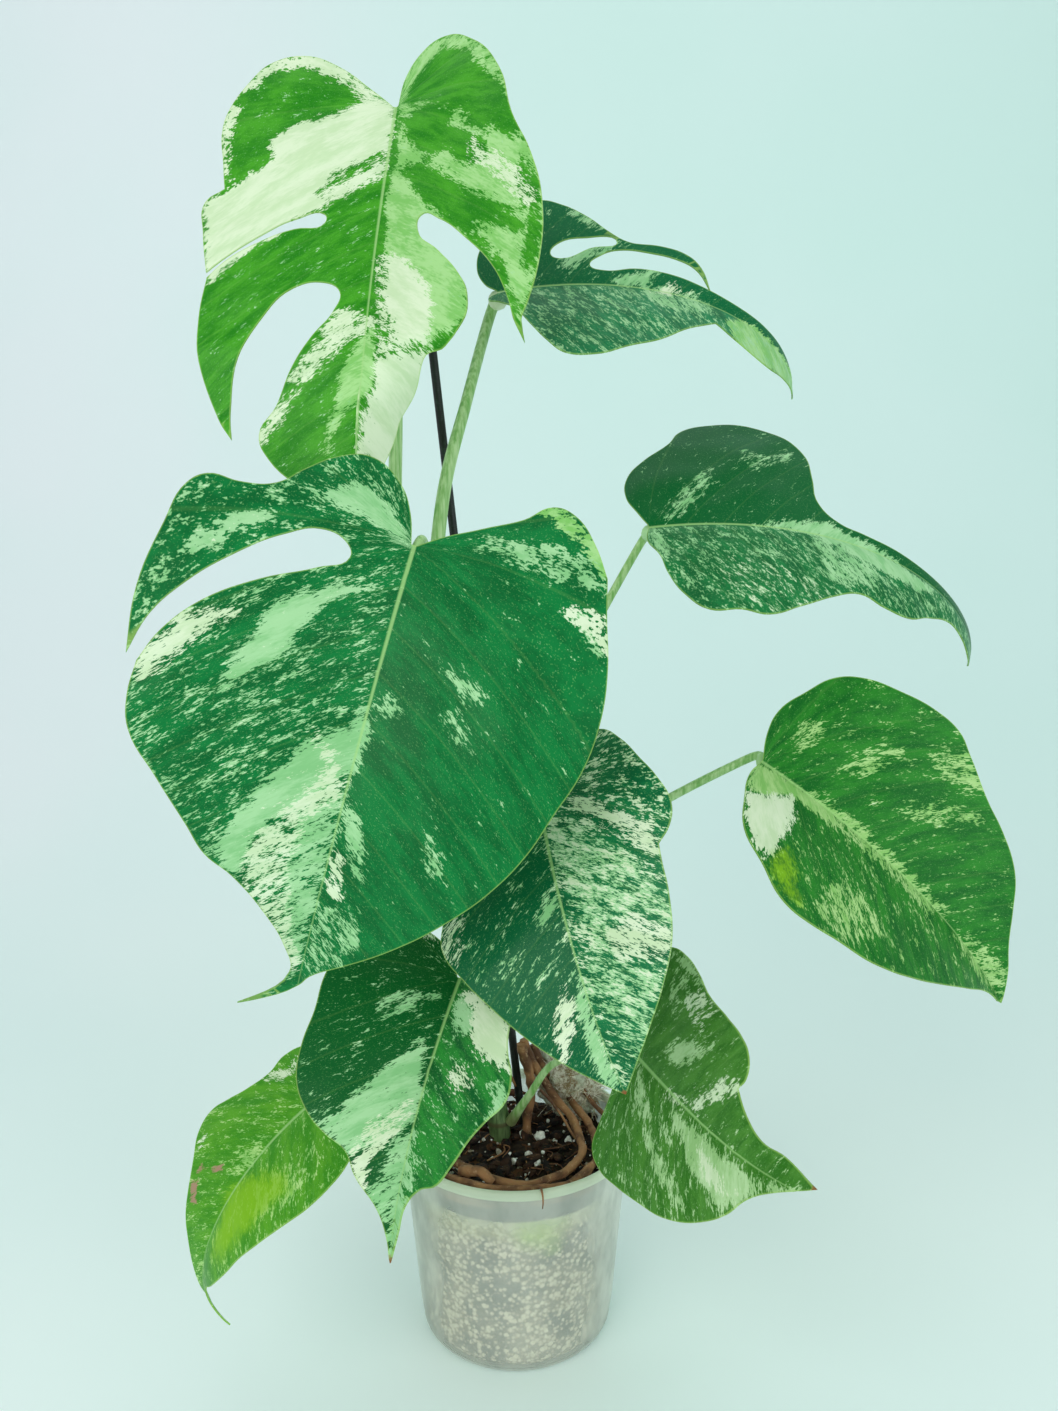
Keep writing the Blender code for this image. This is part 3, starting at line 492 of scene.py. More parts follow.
granule_places = []
for number in range(1, GRANULES + 1):
    low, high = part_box(f"perlite_{number}")
    granule_places.append(((low + high) / 2, (high.z - low.z) / 0.0042,
                           Euler((draw.uniform(0, 3), 0.4, 1.0))))
for number in range(190):
    granule_places.append((on_mix(draw, 0.004, 0.060) + Vector((0, 0, draw.uniform(0.0005, 0.0025))),
                           draw.uniform(0.16, 0.62), Euler((draw.uniform(0, 3), draw.uniform(0, 3), 0.0))))
large_granules = [
    ((-0.0102, 0.0200, 0.1080), 1.5), ((0.0048, 0.0100, 0.1070), 1.3), ((0.0145, 0.0060, 0.1080), 1.7),
    ((0.0080, -0.0120, 0.1065), 1.2), ((0.0130, -0.0200, 0.1060), 1.0), ((-0.0010, -0.0180, 0.1065), 0.9),
]
for spot, size in large_granules:
    granule_places.append((Vector(spot), size, Euler((1.0, 0.3, 0.0))))
granules = strew("perlite_granules", [rough_lump("granule", 0.0021, (1.0, 0.9, 0.85), 2.0),
                                      rough_lump("granule", 0.0020, (1.0, 1.1, 0.8), 7.0)], granule_places)
perlite = Finish("perlite", {"Roughness": 0.95})
place = on_object(perlite)
perlite.feed("Base Color", mixed(perlite, between(perlite, cloud(perlite, place, 260.0, 4.0), 0.35, 0.6),
                                 paint("a89f90"), paint("f4f4ee")))
relief(perlite, cloud(perlite, place, 1500.0, 3.0), 0.0004)
granules.data.materials.append(perlite.material)
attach(granules, "root")
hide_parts(*[f"perlite_{number}" for number in range(1, GRANULES + 1)])


# The surface roots -------------------------------------------------------------
# Thick brown aerial roots have grown round inside the rim and lie on the mix.
# They are woody, ringed and a little knotted, with finer roots across the middle
# and one thin root end that hangs out over the lip in front.

def smooth_route(points, count):
    """Evenly numbered points on a smooth curve through the route's own points."""
    route = [Vector(p) for p in points]
    route = [2 * route[0] - route[1]] + route + [2 * route[-1] - route[-2]]
    spans = len(route) - 3
    result = []
    for step in range(count):
        at = min(step / (count - 1) * spans, spans - 1e-6)
        i = int(at)
        t = at - i
        a, b, c, d = route[i:i + 4]
        result.append(0.5 * (2 * b + (c - a) * t + (2 * a - 5 * b + 4 * c - d) * t * t
                             + (3 * b - a - 3 * c + d) * t ** 3))
    return result


def round_bar(name, routes, resolution):
    """Round bars along routes of (points, radii), swept from curves, as one mesh piece."""
    curve = bpy.data.curves.new(name, "CURVE")
    curve.dimensions = "3D"
    curve.bevel_depth = 1.0
    curve.bevel_resolution = resolution
    curve.use_fill_caps = True
    for points, radii in routes:
        spline = curve.splines.new("POLY")
        spline.points.add(len(points) - 1)
        for control, place, radius in zip(spline.points, points, radii):
            control.co = (*place, 1.0)
            control.radius = radius
    piece = bpy.data.objects.new(name, curve)
    bpy.context.scene.collection.objects.link(piece)
    pick_out(piece)
    bpy.ops.object.convert(target="MESH")
    piece = bpy.context.object
    bpy.ops.object.mode_set(mode="EDIT")
    bpy.ops.mesh.select_all(action="SELECT")
    bpy.ops.mesh.remove_doubles(threshold=0.00001)
    bpy.ops.mesh.normals_make_consistent(inside=False)
    bpy.ops.object.mode_set(mode="OBJECT")
    bpy.ops.object.shade_smooth_by_angle(angle=math.radians(60))
    return piece


def rim_root(radius, start, end, ring, count=90):
    """A knotted root that lies on the mix and circles inside the wall."""
    points = []
    radii = []
    for step in range(count):
        t = step / (count - 1)
        turn = math.radians(start + (end - start) * t)
        away = ring + 0.0012 * math.sin(5.0 * turn) + 0.0006 * noise.noise(Vector((8.0 * turn, start, 0.0)))
        height = MIX_TOP + 2.2 * MIX_LUMP + radius + 0.0008 * math.sin(4.0 * turn)
        points.append(Vector((away * math.cos(turn), away * math.sin(turn), height)))
        knot = 1.0 + 0.16 * noise.noise(Vector((26.0 * turn, end, 1.0)))
        taper = min(1.0, 12.0 * t, 8.0 * (1.0 - t)) ** 0.5
        radii.append(max(0.0003, radius * (1.0 - 0.35 * t) * knot * taper))
    return points, radii


root_bark = Finish("root_bark", {"Roughness": 0.78, "Specular IOR Level": 0.35})
place = on_object(root_bark)
fibre = cloud(root_bark, place, 340.0, 5.0, 0.7)
broad = cloud(root_bark, place, 70.0, 2.0)
root_tone = mixed(root_bark, between(root_bark, broad, 0.38, 0.62), paint("5f3f2b"), paint("a4764f"))
root_tone = mixed(root_bark, between(root_bark, fibre, 0.54, 0.76), root_tone, paint("c6a27c"))
root_bark.feed("Base Color", root_tone)
relief(root_bark, fibre, 0.0010)

roots = [
    ("root_front_bark", "root_front", [rim_root(0.0028, 195, 352, 0.0605)], 3),
    ("root_right_bark", "root_right", [rim_root(0.0025, -4, 26, 0.0600, 30)], 3),
    ("root_back_bark", "root_back", [rim_root(0.0024, 84, 186, 0.0600)], 3),
    ("root_inner_bark", "root_inner", [rim_root(0.0020, 215, 330, 0.0525)], 3),
]
for name, node, routes, resolution in roots:
    root = round_bar(name, routes, resolution)
    root.data.materials.append(root_bark.material)
    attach(root, "root")
    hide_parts(node)

draw = random.Random(4)
strands = []
# Each free root: its thickness, and its route over the mix
crossing = [
    (0.0027, [(0.0051, 0.0220, 0.1625), (0.0137, 0.0210, 0.1420), (0.0247, 0.0190, 0.1259),
              (0.0353, 0.0068, 0.1170), (0.0391, -0.0153, 0.1145), (0.0336, -0.0341, 0.1135),
              (0.0185, -0.0476, 0.1135), (0.0002, -0.0520, 0.1140), (-0.0197, -0.0410, 0.1135),
              (-0.0330, -0.0270, 0.1110), (-0.0420, -0.0200, 0.1060)]),
    (0.0025, [(0.0101, 0.0300, 0.1560), (0.0212, 0.0300, 0.1354), (0.0337, 0.0280, 0.1210),
              (0.0436, 0.0067, 0.1170), (0.0475, -0.0162, 0.1150), (0.0436, -0.0366, 0.1150),
              (0.0277, -0.0546, 0.1155), (0.0060, -0.0605, 0.1165), (-0.0180, -0.0580, 0.1165),
              (-0.0420, -0.0450, 0.1150), (-0.0540, -0.0260, 0.1080)]),
    (0.0034, [(0.0039, 0.0180, 0.1619), (0.0075, 0.0180, 0.1475), (0.0093, 0.0160, 0.1342),
              (0.0068, 0.0120, 0.1160), (0.0068, 0.0110, 0.1020)]),
    (0.0018, [(0.056, -0.006, 0.105), (0.056, 0.012, 0.113), (0.048, 0.026, 0.119), (0.036, 0.033, 0.131)]),
    (0.0018, [(-0.050, -0.020, 0.103), (-0.036, -0.034, 0.107), (-0.018, -0.041, 0.106),
              (0.004, -0.046, 0.105)]),
    (0.0009, [(0.0147, 0.0060, 0.1389), (0.0242, 0.0050, 0.1270), (0.0328, -0.0010, 0.1170),
              (0.0400, -0.0132, 0.1120)]),
    (0.0032, [(-0.0300, -0.0400, 0.1150), (-0.0240, -0.0450, 0.1175), (-0.0185, -0.0485, 0.1190),
              (-0.0120, -0.0510, 0.1150)]),
]
for thick, route in crossing:
    points = [point + 0.0011 * noise.noise_vector(point * 90.0) for point in smooth_route(route, 70)]
    knots = [1.0 + 0.3 * noise.noise(point * 230.0) for point in points]
    strands.append((points, [thick * knot * (1.0 - 0.003 * step) for step, knot in enumerate(knots)]))
for number in range(70):
    start = on_mix(draw, 0.006, 0.058) + Vector((0.0, 0.0, 0.0015))
    heading = draw.uniform(0, 2 * math.pi)
    reach = draw.uniform(0.008, 0.022)
    middle = start + Vector((math.cos(heading), math.sin(heading), 0.25)) * reach * 0.5
    end = start + Vector((math.cos(heading + 0.7), math.sin(heading + 0.7), 0.0)) * reach
    if end.xy.length > 0.060:
        continue
    end.z = mix_height(end.x, end.y)
    strands.append((smooth_route([start, middle, end], 8), [draw.uniform(0.0002, 0.0005)] * 8))
hanging = smooth_route([(0.0120, -0.0560, 0.108), (0.0140, -0.0645, 0.1195), (0.0150, -0.0700, 0.1203),
                        (0.0155, -0.0712, 0.1165), (0.0152, -0.0716, 0.1120)], 16)
strands.append((hanging, [0.0009 - 0.00004 * k for k in range(16)]))
fine_roots = round_bar("fine_roots", strands, 1)
fine_roots.data.materials.append(root_bark.material)
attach(fine_roots, "root")


# The tuft of moss and old root hairs -------------------------------------------
# Behind the stem a soft pale lump of dried moss stands above the rim, with wiry
# root hairs sticking out of it. It is a loose handful that the roots hold down.

def hair(draw, start, way, length, thick):
    """One curling hair: a route and its radii."""
    drift = Vector((draw.uniform(-1, 1), draw.uniform(-1, 1), draw.uniform(-1, 1)))
    points = [start]
    for step in range(1, 5):
        points.append(start + way * (length * step / 4) + drift * (length * 0.10 * step * step / 4))
    return points, [thick, thick, 0.8 * thick, 0.6 * thick, 0.3 * thick]


TUFT_HALF = Vector((0.0275, 0.0120, 0.0150))
TUFT_LEAN = Matrix.Rotation(math.radians(42), 3, "Y")

low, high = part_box("fibre_tuft")
tuft_centre = (low + high) / 2 + Vector((0.002, 0.0, -0.0005))
start_afresh()
bpy.ops.mesh.primitive_ico_sphere_add(subdivisions=5, radius=1.0)
tuft = bpy.context.object
tuft.name = "moss_tuft"
for vertex in tuft.data.vertices:
    shape = 0.98 + 0.34 * noise.noise(vertex.co * 1.6) + 0.20 * noise.noise(vertex.co * 5.0)
    spot = vertex.co * (shape + 0.08 * noise.noise(vertex.co * 21.0))
    vertex.co = tuft_centre + TUFT_LEAN @ (spot * TUFT_HALF)
bpy.ops.object.shade_smooth()
moss = Finish("dried_moss", {"Roughness": 0.95, "Specular IOR Level": 0.2})
place = on_object(moss)
curls = cloud(moss, place, 420.0, 6.0, 0.75)
spread = cloud(moss, place, 90.0, 2.0)
moss_tone = mixed(moss, between(moss, curls, 0.40, 0.60), paint("a8946f"), paint("fbf5e4"))
moss.feed("Base Color", mixed(moss, 0.6 * between(moss, spread, 0.45, 0.62), moss_tone, paint("e2eed6")))
relief(moss, curls, 0.003)
tuft.data.materials.append(moss.material)
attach(tuft, "root")
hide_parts("fibre_tuft")

HAIR_RADIUS = 0.0003
HAIRS = 620

draw = random.Random(21)
hairs = []
for number in range(HAIRS):
    way = Vector((draw.gauss(0, 1), draw.gauss(0, 1), draw.gauss(0.35, 1))).normalized()
    root = tuft_centre + TUFT_LEAN @ (way * TUFT_HALF * 0.85)
    swirl = way.cross(Vector((draw.uniform(-1, 1), draw.uniform(-1, 1), draw.uniform(-1, 1)))).normalized()
    heading = (0.25 * way + swirl).normalized()
    hairs.append(hair(draw, root, heading, draw.uniform(0.006, 0.014), HAIR_RADIUS))
tuft_hair = round_bar("root_hairs", hairs, 0)
straw = Finish("root_hair", {"Roughness": 0.9})
place = on_object(straw)
straw.feed("Base Color", mixed(straw, between(straw, cloud(straw, place, 160.0, 2.0), 0.4, 0.6),
                               paint("a58d68"), paint("f0ecda")))
tuft_hair.data.materials.append(straw.material)
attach(tuft_hair, "root")


# The stake ---------------------------------------------------------------------
# A straight plant stake of plastic-coated steel, black-green with a fine ribbed
# skin and a rounded top, pushed into the mix behind the stem.

STAKE_RADIUS = 0.0025
stake_foot = Vector((0.0125, 0.026, 0.020))
stake_head = Vector((-0.0480, 0.040, 0.600))
stake_way = (stake_head - stake_foot).normalized()
stake_steps = 60
points = [stake_foot.lerp(stake_head, step / stake_steps) for step in range(stake_steps)]
radii = [STAKE_RADIUS] * stake_steps
for below_tip, share in ((0.0018, 1.0), (0.0013, 0.94), (0.0007, 0.80), (0.0002, 0.55), (0.0, 0.2)):
    points.append(stake_head - below_tip * stake_way)
    radii.append(STAKE_RADIUS * share)
stake = round_bar("plant_stake", [(points, radii)], 5)
coated = Finish("coated_stake", {"Roughness": 0.42, "Specular IOR Level": 0.5})
place = on_object(coated)
ribs = coated.node("ShaderNodeTexWave", {"wave_type": "BANDS", "bands_direction": "Z"},
                   {"Vector": place, "Scale": 260.0, "Distortion": 0.4})
dust = cloud(coated, place, 190.0, 4.0)
coated.feed("Base Color", mixed(coated, between(coated, dust, 0.5, 0.75), paint("0a1410"), paint("24332b")))
coated.feed("Roughness", 0.36 + 0.25 * dust)
relief(coated, ribs, 0.0002, 0.6)
stake.data.materials.append(coated.material)
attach(stake, "root")
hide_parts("stake")


# The main stem -------------------------------------------------------------------
# One thick green stem climbs from the mix, leaning left. It swells at each node
# where a stalk leaves it, keeps a brown papery ring there, and puts out short
# stubs of aerial root low down.

STEM_ROUTE = [(-0.008, 0.010, 0.050), (-0.010, 0.011, 0.110), (-0.020, 0.011, 0.180),
              (-0.031, 0.009, 0.250), (-0.044, 0.006, 0.320), (-0.056, 0.003, 0.385)]
STEM_FOOT_RADIUS = 0.0075
STEM_HEAD_RADIUS = 0.0045
stem_points = smooth_route(STEM_ROUTE, 180)
node_heights = [0.116, 0.132, 0.142, 0.165, 0.190, 0.255, 0.305, 0.345]
stem_radii = []
for step, point in enumerate(stem_points):
    share = step / (len(stem_points) - 1)
    swell = sum(math.exp(-((point.z - height) / 0.0032) ** 2) for height in node_heights)
    plain = STEM_FOOT_RADIUS + (STEM_HEAD_RADIUS - STEM_FOOT_RADIUS) * share
    stem_radii.append(plain * (0.94 + 0.12 * min(swell, 1.0) + 0.03 * noise.noise(point * 120.0)))
stem = round_bar("stem", [(stem_points, stem_radii)], 6)
stem_skin = Finish("stem_skin", {"Roughness": 0.5})
place = on_object(stem_skin)
height = stem_skin.node("ShaderNodeSeparateXYZ", {}, {"Vector": place}, 2)
streak = cloud(stem_skin, stretched(stem_skin, place, (1.0, 1.0, 0.12)), 420.0, 4.0, 0.6)
stem_tone = mixed(stem_skin, between(stem_skin, streak, 0.35, 0.65), paint("4d7f45"), paint("8fb573"))
for node_height in node_heights:
    ring = 1 - between(stem_skin, abs(height - node_height), 0.0006, 0.0022)
    stem_tone = mixed(stem_skin, 0.8 * ring, stem_tone, paint("6a5238"))
low_down = 1 - between(stem_skin, height + 0.03 * (streak - 0.5), 0.104, 0.150)
stem_skin.feed("Base Color", mixed(stem_skin, 0.75 * low_down, stem_tone, paint("42492b")))
relief(stem_skin, streak, 0.0006)
stem.data.materials.append(stem_skin.material)
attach(stem, "root")
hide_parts("main_stem")

stubs = []
draw = random.Random(9)
for height in (0.118, 0.133, 0.150, 0.168, 0.192, 0.257):
    heading = draw.uniform(0.2, 3.0)
    start = stem_points[int((height - 0.05) / 0.335 * 179)]
    out = Vector((math.cos(heading), math.sin(heading), 0.0))
    drooped = start + 0.017 * out - Vector((0.0, 0.0, 0.010))
    stubs.append((smooth_route([start, start + 0.011 * out, drooped], 14),
                  [0.0017 - 0.00008 * k for k in range(14)]))
aerial = round_bar("aerial_root_stubs", stubs, 3)
aerial.data.materials.append(root_bark.material)
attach(aerial, "root")


# The leaves ----------------------------------------------------------------------
# Nine thin leathery blades, each a pinnate leaf with rounded lobes, a deep cut or
# two in the larger ones and torn holes. The upper skin is glossy, the underside
# paler and dull. White tissue marbles the green in streaks that follow the side
# veins. Each blade is drawn flat, given its veins and ripples, then bent.

CM = 0.01
BLADE_THICKNESS = 0.0008
CELL = 0.35
VEIN_GAP = 1.05

# One leaf: where its stalk joins the blade, the way it faces, how it bends, its outline.
#   place          of the joint, centimetres
#   turn           heading, pitch and roll in degrees; the blade lies along its own +X
#   length         joint to tip, centimetres
#   arch, nod      droop spread along the midrib, and droop gathered at the tip
#   sweep          sideways turn of the midrib
#   fold, curl     rise of each half from the midrib, and its curl towards the margin (left, right)
#   tip_fold       what the fold becomes near the tip (left, right), over the stretch tip_span
#   left, right    the margin of each half from the joint to the tip, centimetres: along, across
#                  A third entry of 1 marks a sharp corner.
#   node           where the stalk leaves the stem: height in centimetres, side in degrees about Z,
#                  and 1 if it stands beside the stem or 0 if it goes on from the stem's end
#   stalk          the route of the stalk from there to the joint, centimetres
LEAVES = {
    "a": dict(
        place=(-5.91, 0.21, 69.11), turn=(-103, -64, 4), length=23.4, arch=7, nod=9, sweep=3,
        fold=(16, 16), curl=(-17, -9), tip_fold=(-60, 10), tip_span=(0.62, 0.76),
        left=[(0.0, 0.16, 1), (-1.8, 0.4), (-3.1, 1.3), (-3.6, 2.6), (-2.7, 4.3), (-0.1, 6.2),
              (3.0, 7.2), (5.6, 8.4), (8.4, 9.2), (11.6, 9.3), (13.8, 8.9), (15.2, 8.3, 1),
              (13.4, 7.8), (11.6, 6.9), (9.7, 5.3), (8.3, 3.8), (7.8, 2.7), (8.6, 2.6), (10.2, 4.0),
              (11.7, 5.2), (13.0, 5.8), (14.4, 5.6), (15.1, 4.5), (15.4, 3.2), (16.6, 2.6),
              (18.6, 2.2), (20.7, 1.3), (22.2, 0.5)],
        right=[(0.0, -0.16, 1), (-1.0, -1.4), (-2.5, -3.5), (-3.2, -5.5), (-2.7, -7.1), (-1.4, -8.1),
               (0.2, -8.9), (1.7, -9.1), (4.1, -8.6), (5.5, -8.3, 1), (6.3, -9.2), (8.2, -9.0),
               (10.4, -8.5, 1), (9.5, -7.5), (8.3, -5.9), (7.3, -4.2), (7.0, -2.8), (7.5, -2.7),
               (7.9, -4.2), (8.6, -5.8), (9.7, -7.5), (10.7, -8.4, 1), (13.0, -8.5), (15.7, -8.1),
               (17.9, -7.2), (19.0, -6.4, 1), (17.3, -6.6), (15.0, -6.2), (12.9, -5.2), (11.3, -3.9),
               (10.9, -2.5), (11.4, -1.5), (12.5, -1.7), (13.9, -2.6), (15.6, -3.5), (17.3, -4.2),
               (18.8, -5.0), (20.1, -4.4), (21.7, -2.5)],
        tip=(23.4, 0.0),
        node=(38.9, 0, 0.0), stalk=[(-6.4, 0.2, 46.5), (-6.3, 0.7, 54.0), (-6.1, 0.9, 62.0)]),
    "b": dict(
        place=(-4.3, -10.2, 46.3), turn=(-114, -57, -26), length=21.7, arch=42, nod=11, sweep=-5,
        fold=(9, 13), curl=(-13, -5), tip_fold=(9, 13), tip_span=(0.6, 1.0),
        left=[(0.0, 0.15, 1), (-0.7, 1.3), (-1.5, 3.0), (-2.4, 4.6), (-3.4, 5.8), (-3.2, 6.9),
              (-2.0, 8.1), (-0.4, 9.0, 1), (1.3, 9.3), (3.8, 9.9), (6.4, 10.1), (8.5, 9.8),
              (10.4, 9.1), (12.3, 8.4), (14.2, 7.3), (15.9, 5.9), (17.9, 3.9), (19.6, 1.8),
              (20.8, 0.5), (21.7, 0.0)],
        right=[(0.0, -0.15, 1), (-1.5, -0.6), (-2.9, -1.5), (-3.7, -3.0), (-3.0, -4.6), (-1.9, -5.7),
               (-0.7, -6.7), (-0.2, -8.2), (-0.1, -9.6), (0.6, -10.3), (2.6, -10.6), (5.5, -10.8),
               (8.3, -10.4, 1), (6.4, -9.9), (4.8, -8.9), (3.0, -7.3), (1.5, -5.6), (0.7, -4.2),
               (0.9, -3.0), (1.6, -2.6), (2.5, -3.8), (3.8, -6.0), (5.3, -8.0), (7.0, -9.3),
               (8.5, -9.9, 1), (9.9, -9.9), (11.3, -9.5), (13.0, -7.9), (14.6, -6.3), (15.8, -5.2),
               (16.5, -3.9), (17.9, -2.2), (19.4, -1.0), (20.9, -0.5)],
        tip=(23.6, -2.6), node=(30.5, -90, 1.0), stalk=[(-4.2, -1.6, 35.0), (-4.2, -4.4, 41.0)]),
    "c": dict(
        place=(-0.85, 5.6, 61.0), turn=(-13, 7, 42), length=20.0, arch=42, nod=45, sweep=-15,
        fold=(16, 8), curl=(-3, -15), tip_fold=(-10, 8), tip_span=(0.55, 1.0),
        left=[(0.0, 0.15, 1), (-0.8, 0.9), (-1.3, 2.6), (-0.8, 4.6), (0.5, 6.3), (2.2, 7.2),
              (3.6, 6.6), (5.0, 5.5), (6.4, 4.1), (7.5, 3.5), (9.3, 3.5), (10.6, 3.2), (11.6, 2.4),
              (12.4, 1.0, 1), (11.3, 2.2), (10.0, 2.7), (8.6, 2.8), (7.2, 2.8), (6.0, 2.3),
              (5.4, 1.5), (6.2, 1.1), (8.0, 1.4), (10.0, 1.4), (12.0, 1.1), (14.0, 0.9), (16.2, 0.9),
              (18.0, 0.8), (19.3, 0.4)],
        right=[(0.0, -0.15, 1), (-0.4, -0.8), (0.3, -1.4), (1.3, -2.5), (2.4, -4.4), (3.6, -6.4),
               (4.8, -7.5), (6.3, -7.5), (8.0, -6.7), (9.9, -5.3), (11.5, -3.5), (13.0, -1.9, 1),
               (14.4, -2.6), (16.4, -2.9), (18.4, -1.7), (19.8, -0.8)],
        tip=(20.8, -0.3), hole=[(3.1, 2.5), (3.6, 3.4), (5.1, 3.7), (6.8, 3.4), (5.3, 2.8), (3.8, 2.1)],
        node=(34.5, 60, 1.0), stalk=[(-4.6, 1.25, 41.5), (-3.9, 1.7, 49.0), (-2.6, 3.4, 54.5)]),
    "d": dict(
        place=(7.8, 2.0, 47.3), turn=(-13, 6, 38), length=20.5, arch=42, nod=30, sweep=-24,
        fold=(8, 8), curl=(-15, -15), tip_fold=(-20, 8), tip_span=(0.55, 1.0),
        left=[(0.0, 0.15, 1), (-0.7, 1.4), (-1.4, 2.9), (-1.4, 4.9), (-0.5, 6.5), (0.9, 7.9),
              (1.7, 9.7), (3.5, 10.4), (5.5, 10.3), (7.2, 9.1), (8.5, 7.2), (9.0, 4.6), (9.4, 2.6),
              (10.6, 1.3), (12.0, 1.0), (14.0, 0.9), (16.0, 0.8), (18.0, 0.8), (20.0, 0.8), (21.4, 0.6)],
        right=[(0.0, -0.15, 1), (0.0, -1.4), (0.7, -2.8), (1.3, -4.8), (2.2, -6.5), (3.5, -7.6),
               (5.2, -7.5), (6.7, -7.7), (8.6, -6.6), (10.4, -5.3), (12.0, -4.4), (13.6, -4.6),
               (15.2, -4.3), (16.8, -2.8), (18.4, -1.6), (20.0, -1.2), (21.6, -0.9)],
        tip=(23.0, -0.2), node=(25.5, 15, 1.0), stalk=[(-0.8, 1.4, 31.0), (3.2, 1.2, 39.0)]),
    "e": dict(
        place=(13.55, -2.7, 34.6), turn=(-22, -31, 38), length=18.8, arch=32, nod=10, sweep=-4,
        fold=(21, 21), curl=(-5, -8), tip_fold=(21, 21), tip_span=(0.6, 1.0),
        left=[(0.0, 0.15, 1), (-0.6, 1.5), (-0.8, 3.0), (-0.2, 4.8), (0.6, 6.5), (1.9, 7.5),
              (3.7, 8.1), (5.6, 8.5), (7.2, 8.4), (8.4, 7.7), (10.3, 6.6), (12.1, 5.9), (13.8, 4.9),
              (15.2, 3.5), (16.4, 2.1), (17.7, 1.2)],
        right=[(0.0, -0.15, 1), (-0.1, -1.6), (0.4, -3.6), (1.3, -5.7), (3.0, -7.2), (4.5, -8.2),
               (6.0, -8.3), (7.7, -7.8), (9.9, -7.1), (12.0, -5.7), (13.7, -4.2), (15.4, -2.6),
               (17.2, -0.9)],
        tip=(19.0, 0.1), node=(19.0, -10, 1.0), stalk=[(1.0, -0.2, 24.0), (5.2, -0.8, 29.8)]),
    "f": dict(
        place=(1.4, -7.8, 33.9), turn=(-82, -39, 32), length=14.8, arch=35, nod=17, sweep=0,
        fold=(12, 9), curl=(-12, -14), tip_fold=(12, 9), tip_span=(0.6, 1.0),
        left=[(0.0, 0.15, 1), (-1.2, 1.0), (-2.2, 2.5), (-2.1, 4.0), (-0.9, 5.0), (0.6, 5.7),
              (2.0, 6.3), (3.4, 6.6), (4.5, 6.2), (5.1, 5.5, 1), (5.9, 5.4), (7.2, 5.3), (9.1, 4.8),
              (10.7, 3.8), (12.3, 2.4), (13.8, 1.0)],
        right=[(0.0, -0.15, 1), (-1.2, -0.9), (-2.2, -2.2), (-2.0, -3.9), (-0.8, -5.2), (0.9, -6.0),
               (2.6, -5.9), (4.0, -5.4, 1), (5.2, -6.1), (6.2, -6.3), (7.9, -5.5), (9.0, -4.8),
               (10.9, -3.5), (12.6, -2.1), (14.1, -0.7)],
        tip=(14.9, 0.0), node=(16.5, -70, 1.0), stalk=[(-1.2, -1.6, 22.0), (0.4, -4.0, 28.0)]),
    "g": dict(
        place=(-2.6, -8.5, 24.75), turn=(-111, -36, 6), length=13.0, arch=18, nod=13, sweep=3,
        fold=(22, 23), curl=(-10, -1), tip_fold=(22, 23), tip_span=(0.6, 1.0),
        left=[(0.0, 0.15, 1), (-0.9, 0.9), (-1.5, 2.2), (-1.0, 3.6), (0.4, 4.4), (1.9, 4.5),
              (3.2, 4.5), (4.2, 4.8), (5.2, 5.3), (6.3, 5.3), (7.2, 4.5), (8.0, 3.8), (9.1, 3.1),
              (9.9, 2.4), (10.2, 1.3), (10.9, 0.6), (12.0, 0.4)],
        right=[(0.0, -0.15, 1), (-0.9, -0.8), (-1.8, -2.0), (-1.9, -3.8), (-0.8, -5.5), (0.6, -6.3),
               (1.9, -6.5), (3.6, -6.3), (5.1, -6.3), (6.6, -6.0), (7.8, -5.1), (8.6, -3.9),
               (9.1, -2.8), (10.0, -2.1), (11.2, -0.8), (12.2, -0.25)],
        tip=(13.2, 0.0), node=(13.2, -125, 1.0), stalk=[(-2.6, -2.2, 18.4), (-2.8, -5.2, 22.8)]),
    "h": dict(
        place=(-10.7, -5.35, 16.6), turn=(-145, -25, -7), length=12.0, arch=51, nod=30, sweep=1,
        fold=(6, 8), curl=(-17, -11), tip_fold=(6, 8), tip_span=(0.6, 1.0),
        left=[(0.0, 0.15, 1), (-1.0, 1.1), (-1.5, 2.6), (-0.6, 4.0), (0.9, 4.9), (2.2, 5.2),
              (3.6, 5.1), (5.0, 4.6), (6.7, 3.8), (8.0, 3.0), (9.3, 2.3), (10.5, 1.4), (11.4, 0.5),
              (12.3, 0.5)],
        right=[(0.0, -0.15, 1), (-1.1, -1.0), (-1.8, -2.5), (-1.3, -4.0), (-0.2, -4.3), (1.0, -3.9),
               (2.3, -4.2), (3.6, -4.9), (4.4, -5.3), (5.5, -5.1), (6.7, -4.1), (7.8, -3.3),
               (8.9, -2.5), (9.9, -1.6), (11.0, -0.8), (12.3, 0.0)],
        tip=(13.6, 1.4), node=(12.0, 190, 1.0), stalk=[(-4.0, 0.0, 15.8), (-7.0, -2.4, 17.4)]),
    "i": dict(
        place=(6.65, -6.5, 19.4), turn=(-65, -8, 61), length=13.3, arch=-5, nod=12, sweep=20,
        fold=(18, 6), curl=(-14, -14), tip_fold=(6, 5), tip_span=(0.55, 1.0),
        left=[(0.0, 0.15, 1), (-1.2, 1.2), (-2.0, 2.8), (-1.9, 4.8), (-0.8, 6.1), (0.5, 6.3),
              (1.9, 6.0), (3.4, 5.5), (5.4, 5.2), (6.8, 4.9), (7.8, 4.3), (8.1, 3.3), (7.8, 2.7, 1),
              (8.8, 1.8), (10.0, 1.2), (11.5, 1.1)],
        right=[(0.0, -0.15, 1), (-0.6, -1.2), (-0.3, -2.6), (-0.1, -4.2), (0.3, -5.4), (1.4, -5.8),
